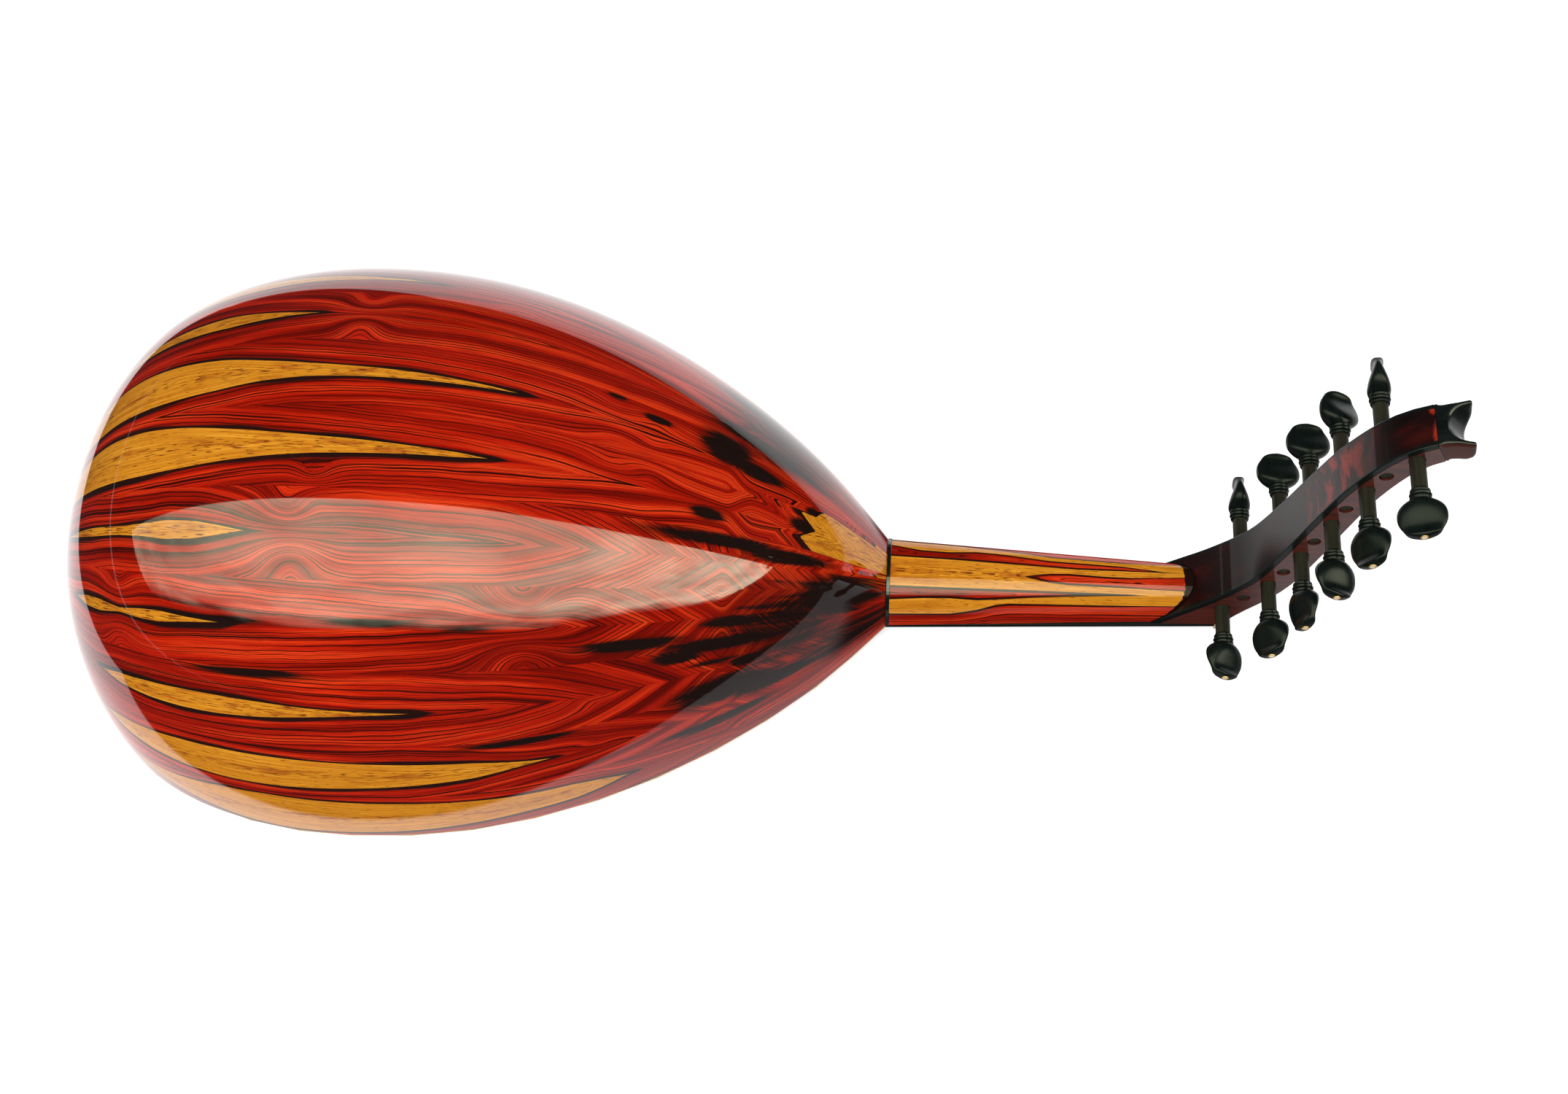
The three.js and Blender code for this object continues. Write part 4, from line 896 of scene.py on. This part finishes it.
def cloudy_finish(name, grain, tones, roughness, depth=0.0, metal=0.0, specks=0.0, windings=0):
    """Bone, metal or nylon: its tone drifts in clouds, which grain makes finer along x, y and z."""
    recipe = Recipe(name)
    x, y, z = recipe.place()
    height = cloud = recipe.noise(x * grain[0], y * grain[1], z * grain[2], grain[3])
    tone = recipe.ramp(cloud, [(0.3, tones[0]), (0.7, tones[1])])
    if specks:
        speck = recipe.noise(x * 1800, y * 600, z * 1800).rise(0.66, 0.72, 0, specks)
        tone = recipe.mix(speck, tone, (0.45, 0.33, 0.18))
    else:
        roughness = cloud.rise(0.3, 0.7, *roughness)
    if windings:
        turns = (x + z * 0.6) * windings
        height = turns.math("SINE", turns)
    relief = recipe.bump(height, depth, 0.6 if windings else 0.2) if depth else None
    return recipe.finish(tone, roughness, relief, metal=metal)


BONE = cloudy_finish("nut_bone", (120, 300, 120, 3), [(0.62, 0.50, 0.32), (0.78, 0.70, 0.52)],
                     0.32, 0.02 * MM, specks=0.3)
BRASS = cloudy_finish("dot_ring_brass", (900, 900, 900, 2), [(0.42, 0.24, 0.07), (0.70, 0.45, 0.16)],
                      (0.25, 0.4), metal=1.0)
print("materials so far:", len(bpy.data.materials))

# %% [markdown]
# The pegbox's back is a veneer of the darkest wood, nearly black, with red flames where light gets
# through the grain. A bright red band crosses it just before the carved end, and a black line is
# inlaid along both of its edges. The flames are stretched noise that is let through in patches by
# height, because the veneer climbs as it runs. The black line follows the board's own half width,
# which a curve through the solid's corners gives.

# %% Mix the flamed veneer
WIDTH_CELLS = 12
RED_BAND_X = 0.3735


def from_side(node, x, y):
    """How far a point lies inside the side of a solid, whose half width along x is a parabola."""
    spots = np.array([vertex.co for vertex in frame["nodes"][node].data.vertices])
    cells = np.linspace(spots[:, 0].min(), spots[:, 0].max(), WIDTH_CELLS + 1)
    widest = []
    for first, last in zip(cells[:-1], cells[1:]):
        inside = spots[(spots[:, 0] >= first) & (spots[:, 0] <= last)]
        if len(inside):
            widest.append(inside[np.argmax(np.abs(inside[:, 1]))])
    along, across = np.array(widest)[:, 0], np.array(widest)[:, 1]
    square, straight, even = np.polyfit(along, np.abs(across), 2).tolist()
    return x * x * square + x * straight + even - abs(y)


def flamed_veneer():
    recipe = Recipe("flamed_veneer")
    x, y, z = recipe.place()
    bend = recipe.noise(x * 20, y * 30, z * 20, 2) - 0.5
    flame = recipe.noise(y * 40 + bend * 3, (x + z) * 100 + bend * 5, 3, 2)
    patch = (z + bend * 0.06).rise(0.115, 0.150) * (z + bend * 0.05).rise(0.170, 0.195, 1, 0)
    ragged = recipe.noise(x * 160, y * 110, z * 160, 2) - 0.5
    crossing = abs(x + y * 0.10 + bend * 0.012 + ragged * 0.007 - RED_BAND_X)
    crossing = crossing.rise(1.2 * MM, 3.2 * MM, 1, 0) * flame.rise(0.30, 0.5, 0.3, 1)
    lit = (flame.rise(0.46, 0.64) * patch * 0.6).most(crossing)
    dark = recipe.ramp(recipe.noise(x * 40, y * 90, z * 40, 3), [
        (0.35, (0.005, 0.002, 0.002)), (0.55, (0.014, 0.002, 0.002)), (0.75, (0.045, 0.003, 0.002))])
    color = recipe.mix(lit, dark, (0.33, 0.022, 0.007))
    inlay = from_side("pegbox_back", x, y).rise(1.9 * MM, 2.2 * MM, 1, 0)
    color = recipe.mix(inlay, color, (0.004, 0.006, 0.006))
    return recipe.finish(color, 0.4, recipe.bump(flame, 0.02 * MM, 0.2), 0.28, 0.03, base_gloss=0.1)


VENEER = flamed_veneer()
PLAIN_PIECES = [
    ("neck_ring", "black_neck_ring", SHINY_EBONY, "ebony", 0.3),
    ("fingerboard", "ebony_fingerboard", EBONY, "ebony", 0.25),
    ("nut", "bone_nut", BONE, "nut_bone", 0.2),
    ("pegbox_wall_near", "near_pegbox_wall", BOX_WOOD, "pegbox_cocobolo", 0.2),
    ("pegbox_wall_far", "far_pegbox_wall", BOX_WOOD, "pegbox_cocobolo", 0.2),
    ("pegbox_back", "veneered_pegbox_back", VENEER, "pegbox_cocobolo", 0.4),
    ("bridge", "rosewood_bridge", ROSEWOOD, "bridge_rosewood", 0.4),
    ("pickguard", "ebony_pickguard", EBONY, "ebony", 0.15),
    ("soundboard", "spruce_soundboard", FACE_SPRUCE, "soundboard_spruce", 0.15),
    ("braces_upper", "upper_spruce_braces", BRACE_SPRUCE, "inner_spruce", 0.4),
    ("braces_lower", "lower_spruce_braces", BRACE_SPRUCE, "inner_spruce", 0.4),
    ("neck_block", "spruce_neck_block", BRACE_SPRUCE, "inner_spruce", 0.3),
    ("tail_block", "spruce_tail_block", BRACE_SPRUCE, "inner_spruce", 0.3),
]
for place in ("main", "far", "near"):
    rosette = f"fretted_{place}_rosette"
    PLAIN_PIECES.append((f"rosette_{place}", rosette, ROSETTE_WOOD, "rosette_rosewood", 0.12))
for node, name, material, slot, soften in PLAIN_PIECES:
    finish_piece(name, copied(node), [material], node, slot, soften * MM)
print("plain pieces:", len(PLAIN_PIECES))

# %% [markdown]
# The pegbox ends in a carved black piece with two horns, worn round and polished. The solid has its
# hollow and its horns, with hard corners. A bevel would stop at the short facets of the hollow. So a
# few flat cuts take the low corner off each horn. Then the solid gets an even skin of small squares,
# which is smoothed, except for the rim that meets the box. The horns' outer sides carry on the red
# wood of the walls.

# %% Round the carved end
SKIN_SIZE = 0.5 * MM
SKIN_ROUNDS = 60
KEPT_RIM = 1.2 * MM
HORN_ROUND = 7.5 * MM
HORN_CUTS = 6


def even_skin(rough_bm):
    """The same shape, covered in small squares."""
    mesh = mesh_of(rough_bm)
    rough = placed("rough", mesh)
    skin = rough.modifiers.new("even_skin", "REMESH")
    skin.mode = "VOXEL"
    skin.voxel_size = SKIN_SIZE
    graph = bpy.context.evaluated_depsgraph_get()
    squares = bpy.data.meshes.new_from_object(rough.evaluated_get(graph))
    skin_bm = bmesh.new()
    skin_bm.from_mesh(squares)
    bpy.data.objects.remove(rough)
    bpy.data.meshes.remove(mesh)
    bpy.data.meshes.remove(squares)
    return skin_bm


def round_horns(end_bm):
    """Cuts the low corner off both horns, in flat cuts round an arc."""
    along = max(end_bm.faces, key=lambda face: face.normal.x).normal.copy()
    upward = Vector((-along.z, 0, along.x))
    corner = max((vertex.co for vertex in end_bm.verts), key=lambda spot: spot.x)
    centre = corner + (upward - along) * HORN_ROUND
    for cut in range(1, HORN_CUTS + 1):
        angle = math.pi / 2 * cut / (HORN_CUTS + 1)
        way = along * math.cos(angle) - upward * math.sin(angle)
        everything = end_bm.verts[:] + end_bm.edges[:] + end_bm.faces[:]
        spot = centre + way * HORN_ROUND
        made = bmesh.ops.bisect_plane(
            end_bm, geom=everything, dist=1e-7, plane_co=spot, plane_no=way, clear_outer=True)
        rim = [item for item in made["geom_cut"] if isinstance(item, bmesh.types.BMEdge)]
        bmesh.ops.holes_fill(end_bm, edges=rim, sides=0)
    print("open edges left on the carved end:", sum(not edge.is_manifold for edge in end_bm.edges))


def carved_end_mesh():
    rough_bm = copied("pegbox_finial")
    glued = min(rough_bm.faces, key=lambda face: face.normal.x)
    spot, way = glued.calc_center_median(), glued.normal.copy()
    round_horns(rough_bm)
    skin_bm = even_skin(rough_bm)
    loose = [vertex for vertex in skin_bm.verts if (vertex.co - spot).dot(way) < -KEPT_RIM]
    for _ in range(SKIN_ROUNDS):
        bmesh.ops.smooth_vert(
            skin_bm, verts=loose, factor=0.5, use_axis_x=True, use_axis_y=True, use_axis_z=True)
    skin_bm.normal_update()
    side_layer = skin_bm.verts.layers.float.new("side_facing")
    for vertex in skin_bm.verts:
        vertex[side_layer] = vertex.normal.y * math.copysign(1, vertex.co.y)
    return skin_bm


def carved_end_finish():
    recipe = Recipe("carved_end_ebony")
    x, y, z = recipe.place()
    grain = recipe.noise(x * 30, y * 200, z * 200, 2)
    black = recipe.ramp(grain, [(0.3, (0.003, 0.005, 0.005)), (0.7, (0.007, 0.010, 0.009))])
    red = recipe.ramp(grain, [(0.3, (0.035, 0.010, 0.007)), (0.7, (0.085, 0.020, 0.012))])
    wooden = (recipe.attribute("side_facing") + (grain - 0.5) * 0.1).rise(0.80, 0.88)
    color, gloss = recipe.mix(wooden, black, red), grain.rise(0.3, 0.7, 0.25, 0.35)
    return recipe.finish(color, gloss, coat=0.3, base_gloss=0.12)


finish_piece("carved_pegbox_end", carved_end_mesh(), [carved_end_finish()], "pegbox_finial", "ebony")
print("the carved end's skin:", SKIN_ROUNDS, "rounds of smoothing")

# %% [markdown]
# A thin cap of the same wood covers the ribs' tips at the tail. It could have a finish of its own, but
# the ribs' finish suits it, once every corner holds the four numbers that this finish reads.

# %% Cap the tail
CAP_EDGE = 20 * MM
CAP_DARKNESS, CAP_SLICE = 0.3, 40


def tail_cap_mesh():
    cap_bm = copied("tail_cap")
    store_figure(cap_bm, lambda spot: (CAP_EDGE + spot.y, spot.z, CAP_DARKNESS, CAP_SLICE))
    return cap_bm


finish_piece("wooden_tail_cap", tail_cap_mesh(), [RIB_FINISH], "tail_cap", "bowl_cocobolo")
print("tail capped")

# %% [markdown]
# Each peg is turned: a brown shaft, a collar of beads and a black head with a bone dot in a brass
# ring at its tip. Then both faces of the head are hollowed towards the tip, so that fingers grip it. A
# lathe shape could be spun from an outline, but the hollowed head isn't round. So a sheet is wrapped
# round the peg's line, with one radius for its width and one for its thickness.

# %% Turn the pegs
SHAFT_REACH, COLLAR_LENGTH, HEAD_LENGTH = 17.6, 6.2, 21.6
HEAD_HALF_WIDTH, HEAD_HALF_THICKNESS = 12.6, 6.2
HEAD_START = SHAFT_REACH + COLLAR_LENGTH
PEG_LENGTH = HEAD_START + HEAD_LENGTH
COLLAR_PROFILE = ([0, 0.04, 0.16, 0.28, 0.32, 0.36, 0.48, 0.6, 0.64, 0.68, 0.8, 0.92, 1.0],
                  [4.25, 5.0, 5.3, 5.0, 4.7, 5.3, 5.8, 5.4, 4.8, 5.2, 5.7, 5.4, 5.0])
HEAD_LENGTHS = np.array([0, 0.06, 0.18, 0.4, 0.64, 0.83, 0.95, 1])
HEAD_WIDTHS = np.array([0.42, 0.62, 0.87, 1, 0.93, 0.74, 0.48, 0.20])
HEAD_THICKNESSES = np.array([0.80, 0.94, 1, 0.78, 0.45, 0.42, 0.52, 0.36])
HEAD_TURNS = [36, 86, -54, 8, -72, 8, 30, 30, -54, 80, -22]
SHAFT_TIP_RADIUS, SHAFT_RADIUS = 3.45, 4.2
RING_PROFILE = ([0, 0.8, 1], [2.2, 2.2, 2.1])
DOT_PROFILE = ([0, 0.7, 0.9, 1], [1.7, 1.7, 1.4, 0.9])
RING_PROUD, DOT_PROUD, DOT_DEPTH = 0.2, 0.35, 1.2
COLLAR_LAP = 0.3


def head_size(along):
    """Half width, half thickness and squareness of the head's section."""
    share = np.array([along])
    wide = smooth_line(HEAD_LENGTHS, HEAD_WIDTHS, share)[0] * HEAD_HALF_WIDTH
    thick = smooth_line(HEAD_LENGTHS, HEAD_THICKNESSES, share)[0] * HEAD_HALF_THICKNESS
    return wide, thick, 2 + 1.2 * along


def round_size(profile):
    """The same for a round part, whose profile gives the radius along it."""
    return lambda along: (np.interp(along, *profile), np.interp(along, *profile), 2)


def peg_part(node, rows, columns, size_at, start, end):
    """One turned part of a peg, of rows by columns of faces, from start to end outside its wall in mm."""
    number = int(node[-2:])
    side = -1 if number % 2 else 1
    lean = math.radians(HEAD_TURNS[number - 1])
    low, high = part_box(node)
    wall = low.y + PEG_LENGTH * MM if side < 0 else high.y - PEG_LENGTH * MM
    centre = Vector(((low.x + high.x) / 2, wall, (low.z + high.z) / 2))
    sizes = [size_at(row / rows) for row in range(rows + 1)]

    def place(along, around):
        distance = start + (end - start) * along
        wide, thick, squareness = sizes[round(along * rows)]
        c, s = math.cos(2 * math.pi * around), math.sin(2 * math.pi * around)
        reach = (abs(c) ** squareness + abs(s) ** squareness) ** (-1 / squareness)
        across, up = wide * reach * c, thick * reach * s
        spot = Vector((across * math.cos(lean) + up * math.sin(lean), side * distance,
                       up * math.cos(lean) - across * math.sin(lean)))
        return centre + spot * MM

    return swept(rows, columns, place)


def join_parts(parts):
    """Puts several meshes into one, each with its own material number."""
    whole_bm = bmesh.new()
    for number, part in enumerate(parts):
        for face in part.faces:
            face.material_index = number
        mesh = mesh_of(part)
        whole_bm.from_mesh(mesh)
        bpy.data.meshes.remove(mesh)
    return whole_bm


def peg_mesh(node):
    low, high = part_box(node)
    inside = (high.y - low.y) / MM - PEG_LENGTH
    at_wall = inside / (inside + SHAFT_REACH)
    taper = ([0, at_wall, 1], [SHAFT_TIP_RADIUS, SHAFT_RADIUS, SHAFT_RADIUS])
    tip, head_end = PEG_LENGTH - DOT_DEPTH, PEG_LENGTH - DOT_PROUD
    parts = [
        (40, 32, round_size(taper), -inside, SHAFT_REACH),
        (50, 40, round_size(COLLAR_PROFILE), SHAFT_REACH - 0.01, HEAD_START + COLLAR_LAP),
        (60, 72, head_size, HEAD_START, head_end),
        (5, 32, round_size(RING_PROFILE), tip, head_end + RING_PROUD),
        (10, 28, round_size(DOT_PROFILE), tip, PEG_LENGTH),
    ]
    return join_parts(peg_part(node, *part) for part in parts)


PEG_FINISHES = [SHAFT_WOOD, PEG_EBONY, PEG_EBONY, BRASS, BONE]
for node in PEGS:
    finish_piece(f"turned_{node}", peg_mesh(node), PEG_FINISHES, node, "peg_ebony")
print("pegs turned:", len(PEGS))

# %% [markdown]
# The bass string and the lower pairs are silk wound with silvered copper, and the upper pairs are
# clear nylon. The windings are finer than a hair, so they are a bump across the string.

# %% String the oud
STRING_CORNER = math.radians(60)
WOUND = cloudy_finish("string_wound", (60, 900, 60, 3), [(0.42, 0.32, 0.22), (0.66, 0.60, 0.52)],
                      (0.28, 0.42), 0.06 * MM, metal=1.0, windings=14000)
NYLON = cloudy_finish("string_nylon", (90, 700, 90, 2), [(0.52, 0.50, 0.44), (0.66, 0.64, 0.58)],
                      (0.15, 0.25), 0.01 * MM)
STRINGS = {"string_bass": WOUND, "string_pair_1": WOUND, "string_pair_2": WOUND, "string_pair_3": WOUND,
           "string_pair_4": NYLON, "string_pair_5": NYLON}
for node, material in STRINGS.items():
    slot = "string_wound" if material is WOUND else "string_nylon"
    finish_piece(f"taut_{node}", copied(node), [material], node, slot, corner=STRING_CORNER)
print("strings:", len(STRINGS))

# %% End
print("the oud is dressed")
